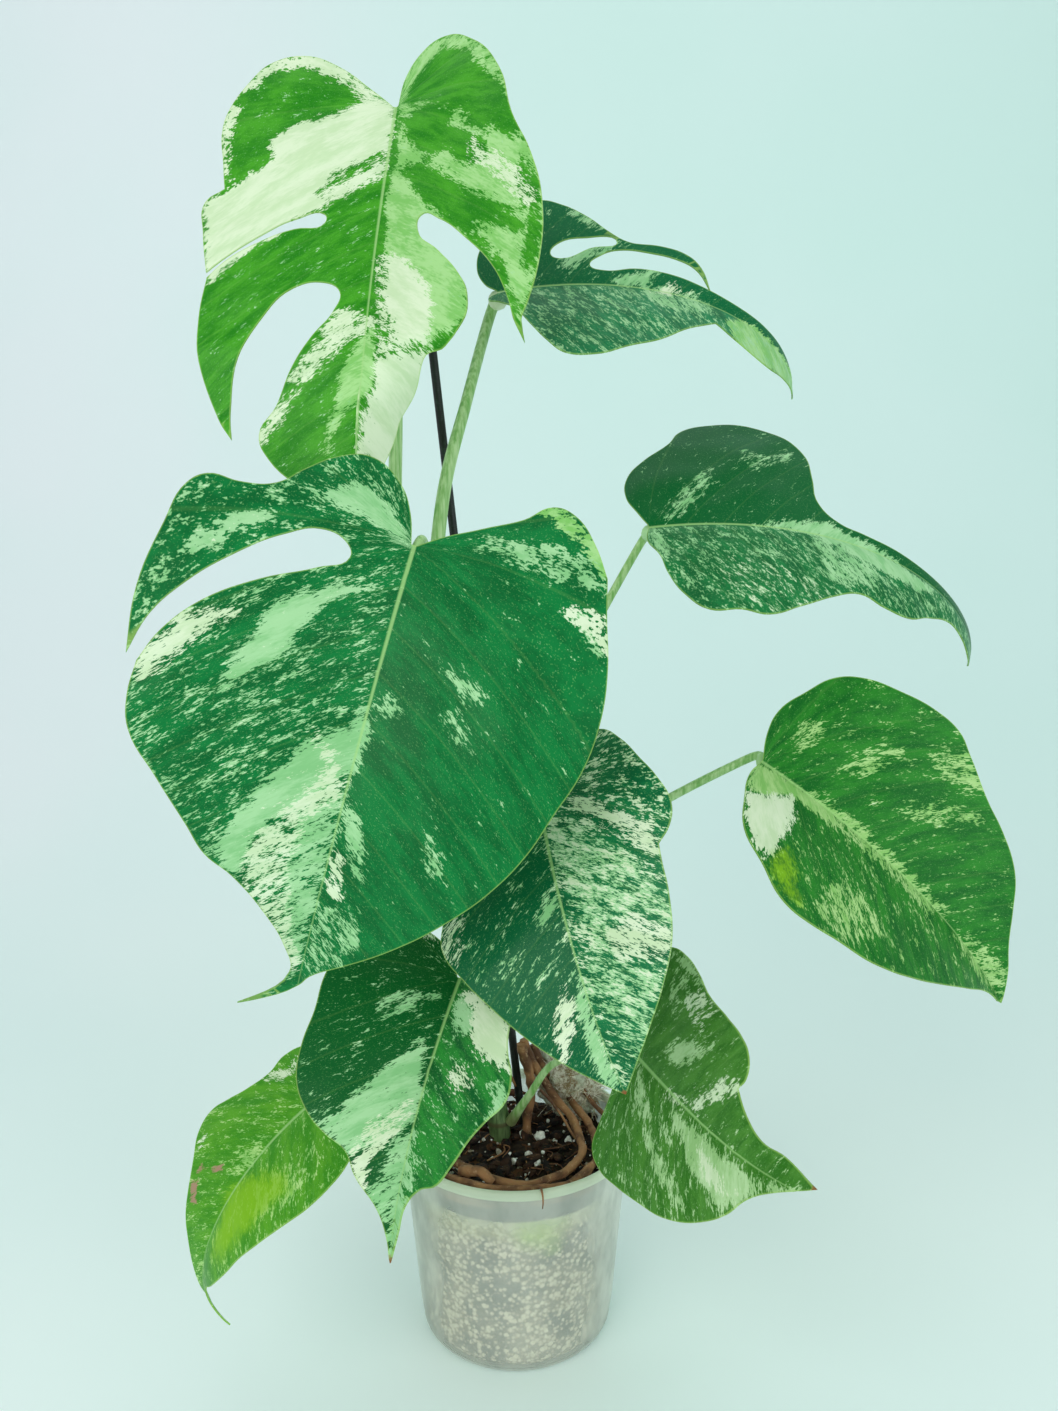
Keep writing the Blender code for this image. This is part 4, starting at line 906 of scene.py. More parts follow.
               (2.9, -5.6), (4.6, -5.2), (6.8, -4.5), (8.4, -3.5), (9.5, -2.5), (10.2, -1.4),
               (11.4, -0.5)],
        tip=(13.4, 0.4), node=(11.7, -25, 1.0),
        stalk=[(0.87, -0.4, 14.1), (2.22, -1.4, 16.5), (4.6, -3.6, 18.3)]),
}

# Marbled patches on the flat blades: tone, how solid inside (0 streaked, 0.9 solid), and
# outline in centimetres. A green patch takes the other tones away.
PATCHES = {
    "a": [
        ("cream", 0.9, [(-0.2, -0.2), (-0.3, -1.6), (0.9, -3.2), (1.4, -5.1), (2.5, -6.3), (3.6, -6.0),
            (4.3, -6.4), (5.7, -8.2), (6.0, -9.2), (10.3, -8.5), (10.9, -8.1), (9.4, -6.8), (4.3, 0.0),
            (1.3, 0.0)]),
        ("cream", 0.9, [(0.3, -9.4), (-2.5, -7.3), (-3.3, -5.8), (-2.9, -4.2), (-1.9, -2.6), (-0.2, -0.6),
            (-0.3, -1.6), (-1.2, -2.5), (-2.5, -5.3), (-2.3, -6.7)]),
        ("cream", 0.05, [(0.3, -9.4), (0.3, -8.6), (3.0, -8.5), (5.1, -8.2), (3.7, -8.7)]),
        ("green", 0.1, [(5.9, -3.3), (4.4, -2.4), (3.0, -0.2), (3.7, -0.1), (4.3, -1.4)]),
        ("light", 0.9, [(0.3, 0.4), (-1.7, 0.3), (-3.3, 1.3), (-3.3, 3.3), (-1.8, 5.1), (0.8, 6.5),
            (4.2, 7.7), (6.3, 8.9), (9.3, 9.3), (11.8, 9.4), (14.7, 8.5), (11.8, 7.5), (10.0, 6.0),
            (7.8, 3.2), (8.3, 2.6), (11.7, 5.5), (14.1, 5.9), (14.9, 3.8), (15.0, 2.3), (12.3, 1.1),
            (5.6, 0.4), (3.8, 0.8)]),
        ("cream", 0.9, [(9.6, 0.9), (9.9, 1.6), (10.9, 2.7), (12.2, 3.6), (13.2, 3.8), (14.8, 3.8),
            (15.0, 2.3), (12.3, 1.1)]),
        ("green", 0.9, [(4.2, 0.9), (4.6, 2.5), (7.0, 5.2), (9.0, 7.9), (9.8, 8.4), (10.2, 8.0), (9.3, 6.8),
            (9.1, 5.9), (10.3, 6.4), (11.8, 7.5), (14.7, 8.5), (12.2, 7.3), (10.4, 6.0), (7.0, 2.8)]),
        ("green", 0.9, [(1.0, 0.5), (0.8, 2.2), (1.7, 4.0), (2.6, 3.6), (4.1, 5.7), (5.4, 6.0), (5.7, 5.2),
            (4.0, 3.6), (4.5, 2.8), (2.8, 1.4)]),
        ("green", 0.55, [(-1.5, 1.2), (-2.7, 2.6), (-1.8, 4.6), (-1.0, 4.6), (0.1, 5.8), (1.8, 6.9),
            (5.0, 8.1), (4.0, 6.8), (3.2, 5.0), (1.8, 4.2), (0.5, 1.9), (0.1, 0.5)]),
        ("green", 0.55, [(5.7, 8.1), (7.8, 9.1), (10.7, 9.3), (12.6, 8.9), (11.6, 8.4), (9.2, 8.7),
            (6.9, 7.8)]),
        ("cream", 0.1, [(4.1, 5.1), (6.5, 7.7), (8.4, 8.9), (8.7, 8.4), (6.8, 7.0), (5.4, 5.5)]),
        ("cream", 0.15, [(12.6, -1.7), (12.4, -1.1), (12.9, 0.5), (13.2, 0.4), (14.1, -0.9), (16.2, -2.8),
            (16.2, -3.5), (14.3, -2.2)]),
        ("cream", 0.1, [(19.0, -5.1), (17.7, -4.4), (16.6, -3.3), (17.3, -3.5), (19.2, -4.6)]),
        ("light", 0.9, [(14.1, -0.2), (13.2, 0.5), (15.8, 0.8), (17.1, 0.1), (17.7, -0.8), (20.0, -1.6),
            (15.8, -1.0)]),
        ("cream", 0.0, [(9.5, 0.3), (9.6, 0.8), (13.4, 1.2), (14.9, 2.1), (15.7, 1.2)]),
        ("cream", 0.3, [(15.1, 2.1), (16.4, 1.2), (19.7, 0.9), (20.1, 0.1), (17.8, 0.2), (16.0, 0.9)]),
        ("cream", 0.9, [(15.0, 0.7), (15.3, 3.4), (17.0, 2.8), (19.0, 2.3), (21.0, 1.6), (22.6, 0.7),
            (19.0, 0.7)]),
    ],
    "b": [
        ("pale", 0.9, [(7.9, -0.1), (9.0, -0.5), (9.4, -1.4), (9.9, -2.0), (11.8, -3.3), (14.0, -4.4),
            (14.9, -4.7), (15.9, -4.7), (16.4, -3.6), (15.3, -3.5), (13.9, -2.9), (13.0, -1.6), (10.5, 0.3),
            (8.7, 0.3)]),
        ("cream", 0.08, [(9.6, -1.9), (11.1, -0.2), (12.3, -0.5), (13.1, -1.6), (15.9, -1.7), (20.5, -0.3),
            (16.3, -3.4), (14.7, -3.3), (11.0, -1.0)]),
        ("pale", 0.15, [(16.3, -3.4), (13.9, -2.9), (13.0, -1.6), (11.1, -0.2), (14.8, -0.1), (20.5, -0.3),
            (17.9, -2.0)]),
        ("pale", 0.9, [(2.0, -0.3), (3.5, -3.6), (4.2, -4.6), (5.1, -5.3), (8.8, -6.4), (6.8, -4.3),
            (3.8, -2.9), (2.8, -1.7)]),
        ("cream", 0.9, [(8.8, -9.8), (7.8, -9.5), (6.3, -8.6), (5.7, -7.5), (5.4, -6.4), (6.1, -7.4),
            (9.1, -9.4)]),
        ("pale", 0.45, [(3.9, -9.3), (3.2, -9.2), (1.3, -7.9), (0.5, -6.2), (1.1, -6.5), (1.8, -7.5)]),
        ("pale", 0.9, [(-0.6, -5.3), (-1.3, -4.0), (-1.9, -3.9), (-2.1, -3.0), (-1.5, -1.7), (0.0, -0.2),
            (0.0, -1.0), (-0.4, -2.1), (-0.7, -4.2)]),
        ("cream", 0.1, [(1.7, 7.5), (1.4, 8.4), (1.5, 9.1), (3.2, 9.8), (2.5, 8.8)]),
        ("pale", 0.4, [(1.8, 7.5), (1.4, 8.4), (3.3, 9.6), (3.1, 9.1), (2.1, 8.2)]),
        ("pale", 0.6, [(5.6, 3.1), (5.9, 4.3), (6.5, 5.0), (6.2, 3.8)]),
        ("pale", 0.6, [(7.2, 0.4), (7.3, 0.8), (7.7, 1.4), (7.9, 1.2), (7.8, 0.6)]),
        ("light", 0.9, [(-3.0, 5.1), (-3.4, 5.7), (-2.9, 7.0), (-2.1, 8.2), (-0.6, 9.0), (-0.3, 8.7),
            (-1.5, 7.8), (-2.4, 6.6)]),
        ("pale", 0.05, [(-0.8, 2.5), (-1.0, 4.6), (-1.5, 6.4), (-0.9, 8.2), (0.3, 9.1), (0.0, 4.8)]),
        ("cream", 0.6, [(16.4, 0.5), (14.7, 0.2), (14.6, 0.5), (16.4, 1.0), (16.7, 0.8)]),
        ("pale", 0.3, [(12.7, 0.2), (12.3, 0.5), (13.1, 1.1), (15.4, 1.6), (14.4, 1.1), (14.0, 0.7)]),
        ("pale", 0.5, [(12.4, 4.1), (13.3, 4.7), (14.2, 5.0), (13.9, 4.6)]),
        ("pale", 0.0, [(17.6, 0.1), (16.6, 1.3), (17.7, 2.2), (19.6, 1.6), (20.8, 0.5), (19.0, 0.4)]),
        ("pale", 0.0, [(7.5, 3.5), (7.2, 3.9), (8.1, 4.6), (8.6, 5.1), (8.3, 4.0)]),
    ],
    "c": [
        ("pale", 0.15, [(3.8, 2.5), (5.9, 3.4), (7.1, 3.3), (6.4, 2.9), (5.5, 2.0), (4.6, 1.5), (3.6, 1.3)]),
        ("pale", 0.3, [(6.7, 0.3), (8.5, 1.3), (9.3, 1.6), (8.8, 0.6), (7.8, 0.1)]),
        ("pale", 0.3, [(4.1, 6.1), (4.8, 5.5), (6.0, 4.3), (5.3, 4.8), (4.4, 5.5)]),
        ("cream", 0.1, [(9.4, -0.2), (10.4, 0.7), (11.1, 0.4), (9.9, -0.4)]),
        ("light", 0.9, [(13.5, -1.1), (14.6, 0.0), (19.5, 0.4), (20.8, 1.4), (19.7, -3.1), (18.0, -1.9),
            (16.5, -3.2), (14.8, -3.3)]),
        ("pale", 0.1, [(8.3, 0.2), (9.8, 0.4), (11.8, 0.2), (13.2, -0.5), (11.2, -1.8), (9.3, -1.7)]),
    ],
    "d": [
        ("pale", 0.9, [(5.9, 0.1), (9.9, 1.0), (11.0, 0.6), (13.9, 0.1), (15.2, -0.4), (17.2, -0.4),
            (15.6, -1.4), (13.9, -1.6), (12.2, -1.4), (9.3, -0.2)]),
        ("cream", -0.22, [(4.2, -3.2), (6.2, -3.7), (10.2, -5.1), (9.3, -6.0), (6.7, -7.3), (4.4, -5.5)]),
        ("pale", 0.1, [(9.3, -0.6), (11.0, -1.0), (13.4, -2.3), (12.5, -3.6), (10.1, -3.9)]),
        ("pale", 0.0, [(0.9, 0.6), (2.4, 3.7), (3.5, 5.1), (3.1, 2.9), (1.6, 0.7)]),
        ("pale", 0.0, [(5.2, 6.9), (6.8, 6.2), (7.8, 7.3), (7.6, 6.0), (5.8, 5.4)]),
        ("pale", 0.9, [(0.1, -0.1), (0.8, -1.1), (1.3, -3.8), (0.9, -3.4), (0.3, -1.4)]),
    ],
    "e": [
        ("cream", 0.9, [(0.4, -3.2), (1.2, -2.6), (2.3, -1.1), (2.7, -1.9), (3.1, -3.8), (2.9, -6.8),
            (0.9, -4.9)]),
        ("pale", 0.6, [(-0.2, -0.8), (0.3, -0.2), (5.5, 0.3), (4.7, -0.9), (2.3, -1.1), (1.2, -2.6),
            (0.4, -2.8)]),
        ("pale", 0.1, [(5.5, 0.3), (12.5, 0.3), (11.4, -1.0), (9.4, -0.7), (4.7, -0.9)]),
        ("lime", 0.9, [(3.0, -6.7), (3.4, -4.8), (4.3, -5.9), (5.2, -7.7), (4.3, -7.7), (3.4, -7.2)]),
        ("pale", 0.0, [(5.9, -7.2), (6.7, -4.0), (8.2, -4.2), (9.5, -5.1), (7.8, -7.3), (6.4, -7.4)]),
        ("pale", 0.05, [(6.7, 6.2), (7.9, 7.7), (9.3, 7.1), (10.1, 6.8), (8.0, 5.7)]),
        ("pale", 0.05, [(13.6, -0.3), (15.4, 0.8), (17.6, 1.1), (18.4, 0.4), (16.2, -0.8)]),
        ("pale", 0.0, [(3.6, 2.3), (4.6, 4.8), (5.6, 5.2), (4.8, 3.0)]),
        ("pale", 0.0, [(0.6, 2.0), (1.1, 3.5), (1.8, 3.5), (1.4, 1.9)]),
        ("pale", 0.0, [(7.2, 2.2), (8.9, 4.4), (10.7, 5.7), (9.4, 3.8)]),
    ],
    "f": [
        ("pale", 0.05, [(2.4, 0.1), (2.2, 1.4), (3.6, 2.7), (5.8, 4.3), (7.9, 5.2), (9.5, 4.7), (10.0, 3.5),
            (9.5, 2.3), (8.1, 1.3), (3.8, 0.2)]),
        ("cream", 0.08, [(1.0, 1.8), (1.9, 3.1), (4.5, 5.4), (5.4, 5.4), (3.1, 3.2)]),
        ("cream", 0.1, [(7.9, 1.8), (7.7, 3.6), (8.9, 4.9), (9.7, 4.4), (9.7, 2.9), (8.9, 2.0)]),
        ("green", 0.3, [(9.3, 2.7), (9.9, 3.9), (10.5, 3.9), (10.2, 2.9)]),
        ("green", -0.1, [(-1.9, 3.8), (0.5, 5.7), (2.9, 6.6), (4.4, 6.3), (4.0, 5.4), (1.0, 3.3),
            (-0.5, 2.9)]),
        ("pale", 0.9, [(6.2, -1.1), (5.5, -0.7), (5.6, -0.2), (6.3, -0.4), (6.6, -1.0)]),
        ("cream", 0.4, [(11.2, -1.9), (9.7, -0.8), (10.0, -0.7), (11.7, -1.3), (12.7, -1.9)]),
        ("cream", 0.0, [(5.2, -6.2), (5.1, -5.0), (6.8, -5.6), (6.8, -6.3)]),
        ("pale", 0.9, [(8.9, -0.1), (9.9, 0.1), (11.3, -0.1), (14.6, -0.1), (14.2, -0.7), (10.4, -0.5)]),
        ("pale", 0.05, [(8.1, 1.3), (9.5, 2.3), (10.4, 3.7), (12.7, 2.2), (13.5, 1.3), (9.6, 0.2)]),
    ],
    "g": [
        ("cream", 0.9, [(0.9, 0.5), (1.3, 2.2), (3.2, 4.8), (4.5, 4.9), (5.1, 5.3), (4.0, 2.8), (3.1, 2.2),
            (2.2, 2.1)]),
        ("pale", 0.5, [(2.4, 0.5), (0.9, 0.5), (2.2, 2.1), (3.1, 2.3), (3.4, 1.9)]),
        ("cream", 0.6, [(-1.8, -2.8), (-2.1, -2.0), (-2.1, -1.0), (-1.7, -1.7)]),
        ("pale", 0.35, [(3.8, -0.5), (5.2, -0.4), (6.1, 0.1), (7.3, -0.3), (8.2, -0.9), (8.9, -1.7),
            (9.3, -2.5), (8.4, -4.1), (5.0, -1.8), (3.5, -0.6)]),
        ("cream", 0.1, [(9.3, -2.5), (7.9, -1.8), (6.5, -0.5), (8.2, -0.9), (9.2, -1.7)]),
        ("pale", 0.0, [(2.5, -3.5), (1.6, -2.5), (1.2, -0.6), (1.8, -1.2), (2.8, -2.8)]),
        ("cream", 0.0, [(5.1, 1.5), (5.0, 2.5), (5.6, 3.1), (6.1, 2.3)]),
        ("pale", 0.6, [(5.5, 4.2), (5.6, 4.8), (6.1, 5.3), (6.9, 5.0), (7.1, 4.5), (6.2, 4.8)]),
        ("pale", 0.15, [(8.8, -0.9), (7.5, 0.2), (9.6, 1.0), (10.4, 0.5), (11.6, 0.6), (13.1, 0.1),
            (11.7, -0.3), (10.5, -1.4), (9.8, -0.8)]),
        ("light", 0.9, [(10.4, 0.3), (10.4, 0.7), (11.6, 0.6), (13.1, 0.1), (11.7, -0.3)]),
        ("cream", 0.1, [(9.3, -2.2), (9.5, -1.7), (10.5, -1.6), (10.1, -1.9)]),
    ],
    "h": [
        ("cream", 0.15, [(1.3, -3.8), (-0.3, -3.1), (-0.6, -3.5), (-0.1, -2.7), (0.5, -2.7), (1.0, -3.1)]),
        ("cream", 0.5, [(6.0, -4.4), (5.5, -4.2), (5.7, -4.1), (6.1, -4.1)]),
        ("lime", 0.9, [(6.2, -0.5), (4.9, 0.5), (3.4, 2.4), (3.9, 3.6), (7.0, 2.7), (9.1, 1.6), (9.2, 0.7),
            (7.8, 0.3)]),
        ("brown", 0.9, [(6.8, -3.4), (6.6, -3.1), (6.7, -2.8), (7.0, -3.2)]),
        ("brown", 0.9, [(6.3, -2.3), (5.8, -1.7), (5.9, -1.5), (6.3, -2.0)]),
        ("brown", 0.9, [(7.7, -3.1), (7.3, -2.9), (8.2, -1.9), (8.2, -2.5)]),
        ("pale", 0.6, [(10.5, -0.3), (10.1, 0.1), (14.2, -2.5), (12.2, 0.9), (13.6, 1.2), (12.3, 1.1),
            (12.6, -0.6)]),
        ("pale", 0.0, [(5.0, 1.3), (3.2, 2.4), (2.7, 3.8), (4.5, 3.9), (6.0, 2.9)]),
        ("pale", 0.0, [(4.8, -1.6), (3.4, -0.6), (4.3, -0.1), (5.7, -0.5)]),
    ],
    "i": [
        ("cream", 0.9, [(2.7, -0.2), (4.7, 0.4), (5.9, 1.5), (6.3, 2.2), (7.6, 3.0), (7.8, 2.8), (5.2, 0.4),
            (3.4, -0.2)]),
        ("pale", 0.9, [(2.1, 1.8), (2.5, 2.4), (3.9, 3.2), (5.3, 3.5), (3.0, 1.5), (2.3, 1.4)]),
        ("pale", 0.5, [(-0.3, 5.7), (0.4, 6.2), (1.7, 6.1), (2.8, 5.7), (2.2, 5.6), (0.6, 5.9)]),
        ("pale", 0.9, [(3.4, -0.5), (5.6, -1.3), (6.4, -1.8), (8.8, -2.3), (9.7, -2.0), (10.5, -1.1),
            (10.0, -0.8), (10.8, -0.5)]),
        ("cream", 0.7, [(6.4, -1.0), (9.5, -1.6), (7.8, -1.7)]),
        ("pale", 0.1, [(0.5, -0.3), (4.1, -2.5), (7.3, -3.5), (6.5, -3.6), (4.7, -3.2), (3.2, -2.6),
            (1.1, -1.1)]),
        ("pale", 0.9, [(3.8, -1.4), (4.3, -1.3), (4.9, -1.8), (4.5, -1.8)]),
        ("cream", 0.0, [(2.1, 4.6), (3.0, 5.5), (4.4, 5.0), (3.8, 4.2), (2.9, 4.1)]),
        ("pale", 0.0, [(0.1, 5.3), (1.6, 5.7), (2.0, 4.8), (1.3, 3.6)]),
        ("pale", 0.3, [(10.7, -0.5), (12.0, -0.1), (13.2, 0.2), (12.0, -0.2), (10.9, -0.7)]),
        ("brown", 0.9, [(13.7, 0.3), (13.7, 0.2), (13.7, 0.0), (13.7, 0.1)]),
    ],
}

# Upper-skin greens (shaded, lit) and marbling tints where they are not the usual ones.
# pale and cream: how much of each tone the (left, right) half carries outside the patches,
# as a distance in centimetres to the nearest one. shaded_half: which half has painted shade, pushed
# towards the shaded green, 1 for the left and -1 for the right. burn: how far the dry brown tip
# reaches, in centimetres.
SKINS = {
    "a": dict(greens=("1f7d10", "459f22"), pale=(-0.34, -0.30), cream=(-0.60, -0.46)),
    "b": dict(greens=("04602c", "0c7a3a"), pale=(-0.40, -0.16), cream=(-0.55, -0.38)),
    "c": dict(greens=("006638", "16864e"), shaded_half=1, pale=(-0.34, -0.12), cream=(-0.55, -0.45)),
    "d": dict(greens=("00602c", "147d3e"), shaded_half=1, pale=(-0.34, -0.12), cream=(-0.60, -0.46)),
    "e": dict(greens=("106420", "2a8428"), pales=("86c066", "b0d78c"),
              pale=(-0.30, -0.24), cream=(-0.46, -0.50)),
    "f": dict(greens=("0a5f36", "1a7a46"), shaded_half=-1, pale=(-0.09, -0.24), cream=(-0.15, -0.38), burn=0.3),
    "g": dict(greens=("0a5a25", "2b8c34"), shaded_half=-1, pale=(-0.24, -0.28), cream=(-0.42, -0.46), burn=0.2),
    "h": dict(greens=("3c8c1d", "5ba328"), pales=("8cc668", "b5dc8a"),
              pale=(-0.20, -0.20), cream=(-0.50, -0.50)),
    "i": dict(greens=("32701f", "4f8c34"), pales=("95c27e", "b9dba4"),
              pale=(-0.30, -0.20), cream=(-0.45, -0.42), burn=0.2),
}


def eased(start, end, value):
    """0 before start, 1 after end, smooth between."""
    t = np.clip((value - start) / (end - start), 0.0, 1.0)
    return t * t * (3.0 - 2.0 * t)


def bent(points, leaf):
    """Carry points of the flat leaf (metres: along, across, up) to where the grown leaf has them."""
    length = leaf["length"] * CM
    along, across, up = points.T

    def course(u):
        droop = np.radians(leaf["arch"] * u + leaf["nod"] * np.clip(u, 0, None) ** 5)
        swing = np.radians(leaf["sweep"] * np.clip(u, 0, None) ** 2)
        flat = np.cos(droop)
        forward = np.stack([flat * np.cos(swing), flat * np.sin(swing), -np.sin(droop)], 1)
        left = np.stack([-np.sin(swing), np.cos(swing), 0 * swing], 1)
        return forward, left

    walk = np.linspace(-0.45, 1.35, 361)
    forward, left = course(walk)
    stride = (walk[1] - walk[0]) * length
    midrib = np.vstack([np.zeros(3), np.cumsum((forward[1:] + forward[:-1]) / 2 * stride, axis=0)])
    u = along / length
    origin = np.array([np.interp(0.0, walk, midrib[:, k]) for k in range(3)])
    spine = np.stack([np.interp(u, walk, midrib[:, k]) for k in range(3)], 1) - origin
    forward, left = course(u)
    normal = np.cross(forward, left)

    is_left = across >= 0
    near_tip = eased(*leaf["tip_span"], u)
    fold = np.where(is_left, leaf["fold"][0], leaf["fold"][1])
    tip_fold = np.where(is_left, leaf["tip_fold"][0], leaf["tip_fold"][1])
    fold = np.radians(fold + (tip_fold - fold) * near_tip)
    curl = np.radians(np.where(is_left, leaf["curl"][0], leaf["curl"][1]))
    reach = 0.45 * length
    slope = fold + curl * np.abs(across) / reach
    side = np.where(is_left, 1.0, -1.0)
    out = side * reach / curl * (np.sin(slope) - np.sin(fold))
    rise = -reach / curl * (np.cos(slope) - np.cos(fold))
    out -= side * up * np.sin(slope)
    rise += up * np.cos(slope)
    local = spine + left * out[:, None] + normal * rise[:, None]

    heading, pitch, roll = (math.radians(angle) for angle in leaf["turn"])
    facing = np.array(Euler((roll, -pitch, heading), "XYZ").to_matrix())
    return np.array(leaf["place"]) * CM + local @ facing.T


def smooth_loop(loop):
    """Points of a smooth closed outline through the given ones, in centimetres, counter-clockwise."""
    curve = bpy.data.curves.new("edge", "CURVE")
    curve.dimensions = "2D"
    curve.fill_mode = "NONE"
    curve.resolution_u = 6
    spline = curve.splines.new("BEZIER")
    spline.bezier_points.add(len(loop) - 1)
    spline.use_cyclic_u = True
    for control, (x, y, *sharp) in zip(spline.bezier_points, loop):
        control.co = (x, y, 0.0)
        control.handle_left_type = "VECTOR" if sharp else "AUTO"
        control.handle_right_type = control.handle_left_type
    holder = bpy.data.objects.new("edge", curve)
    bpy.context.scene.collection.objects.link(holder)
    line = holder.to_mesh()
    points = np.array([vertex.co[:2] for vertex in line.vertices])
    bpy.data.objects.remove(holder)
    area = np.sum(points[:, 0] * np.roll(points[:, 1], -1) - points[:, 1] * np.roll(points[:, 0], -1))
    return points if area > 0 else points[::-1]


def edge_distance(places, loop):
    """Distance from each place to a closed line, and whether it lies inside."""
    start = np.asarray(loop, float)
    end = np.roll(start, -1, axis=0)
    way = end - start
    best = np.full(len(places), 1e9)
    inside = np.zeros(len(places), bool)
    x, y = places[:, 0], places[:, 1]
    for (x0, y0), (dx, dy), (x1, y1) in zip(start, way, end):
        t = np.clip(((x - x0) * dx + (y - y0) * dy) / (dx * dx + dy * dy + 1e-12), 0, 1)
        best = np.minimum(best, np.hypot(x - x0 - t * dx, y - y0 - t * dy))
        if dy:
            inside ^= ((y0 > y) != (y1 > y)) & (x < x0 + (y - y0) * dx / dy)
    return best, inside


def flat_blade(leaf):
    """The flat blade as a fine sheet of cells, in centimetres, with a row along the midrib."""
    outer = smooth_loop(leaf["left"] + [(*leaf["tip"], 1)] + leaf["right"][::-1])
    loops = [outer]
    ring = outer
    if "hole" in leaf:
        hole = smooth_loop(leaf["hole"])[::-1]
        loops.append(hole)
        apart = np.hypot(outer[:, None, 0] - hole[None, :, 0], outer[:, None, 1] - hole[None, :, 1])
        i, j = np.unravel_index(np.argmin(apart), apart.shape)
        ring = np.vstack([outer[:i + 1], hole[j:], hole[:j + 1], outer[i:]])
    sheet = bmesh.new()
    face = sheet.faces.new([sheet.verts.new((x, y, 0.0)) for x, y in ring])
    face.normal_update()
    low = np.floor(outer.min(axis=0) / CELL).astype(int)
    high = np.ceil(outer.max(axis=0) / CELL).astype(int)
    for axis in range(2):
        for step in range(low[axis], high[axis] + 1):
            spot = [0.0, 0.0, 0.0]
            way = [0.0, 0.0, 0.0]
            spot[axis] = CELL * step
            way[axis] = 1.0
            bmesh.ops.bisect_plane(sheet, geom=sheet.verts[:] + sheet.edges[:] + sheet.faces[:],
                                   plane_co=spot, plane_no=way, dist=0.001)
    bmesh.ops.remove_doubles(sheet, verts=sheet.verts, dist=0.004)
    return sheet, loops


def vein_grid(x, y):
    """Where the side vein through a place leaves the midrib, and how far out along it the place is."""
    wide = np.abs(y)
    ahead = x - 0.018 * y * y
    angle = np.arctan2(wide, ahead)
    lean = math.radians(60)
    from_midrib = ahead - wide / math.tan(lean)
    v = np.where(angle < lean, from_midrib, (lean - angle) * 4.0)
    r = np.where(angle < lean, wide / math.sin(lean), np.hypot(ahead, wide))
    return v, r * np.where(y < 0, -1.0, 1.0)


def store(mesh, name, columns):
    """Keep three numbers per vertex under a name."""
    layer = mesh.attributes.new(name, "FLOAT_VECTOR", "POINT")
    layer.data.foreach_set("vector", np.stack(columns, 1).astype(np.float32).ravel())


def skin_layer(finish, name):
    """The three numbers kept under a name."""
    vector = finish.node("ShaderNodeAttribute", {"attribute_name": name}, {}, 1)
    return [finish.node("ShaderNodeSeparateXYZ", {}, {"Vector": vector}, k) for k in range(3)]


def joined(finish, x, y, z):
    return finish.node("ShaderNodeCombineXYZ", {}, {0: x, 1: y, 2: z})


def marbling(skin, v, r, seed):
    """Streaks along the side veins, about -0.7 to 0.7, and their broad part alone."""
    fine = cloud(skin, joined(skin, 15.0 * v, 4.4 * r, seed), 1.0, 4.0, 0.62)
    broad = cloud(skin, joined(skin, 3.0 * v, 1.1 * r, seed + 7.0), 1.0, 3.0, 0.55)
    return 1.5 * (fine - 0.5) + 1.3 * (broad - 0.5), broad


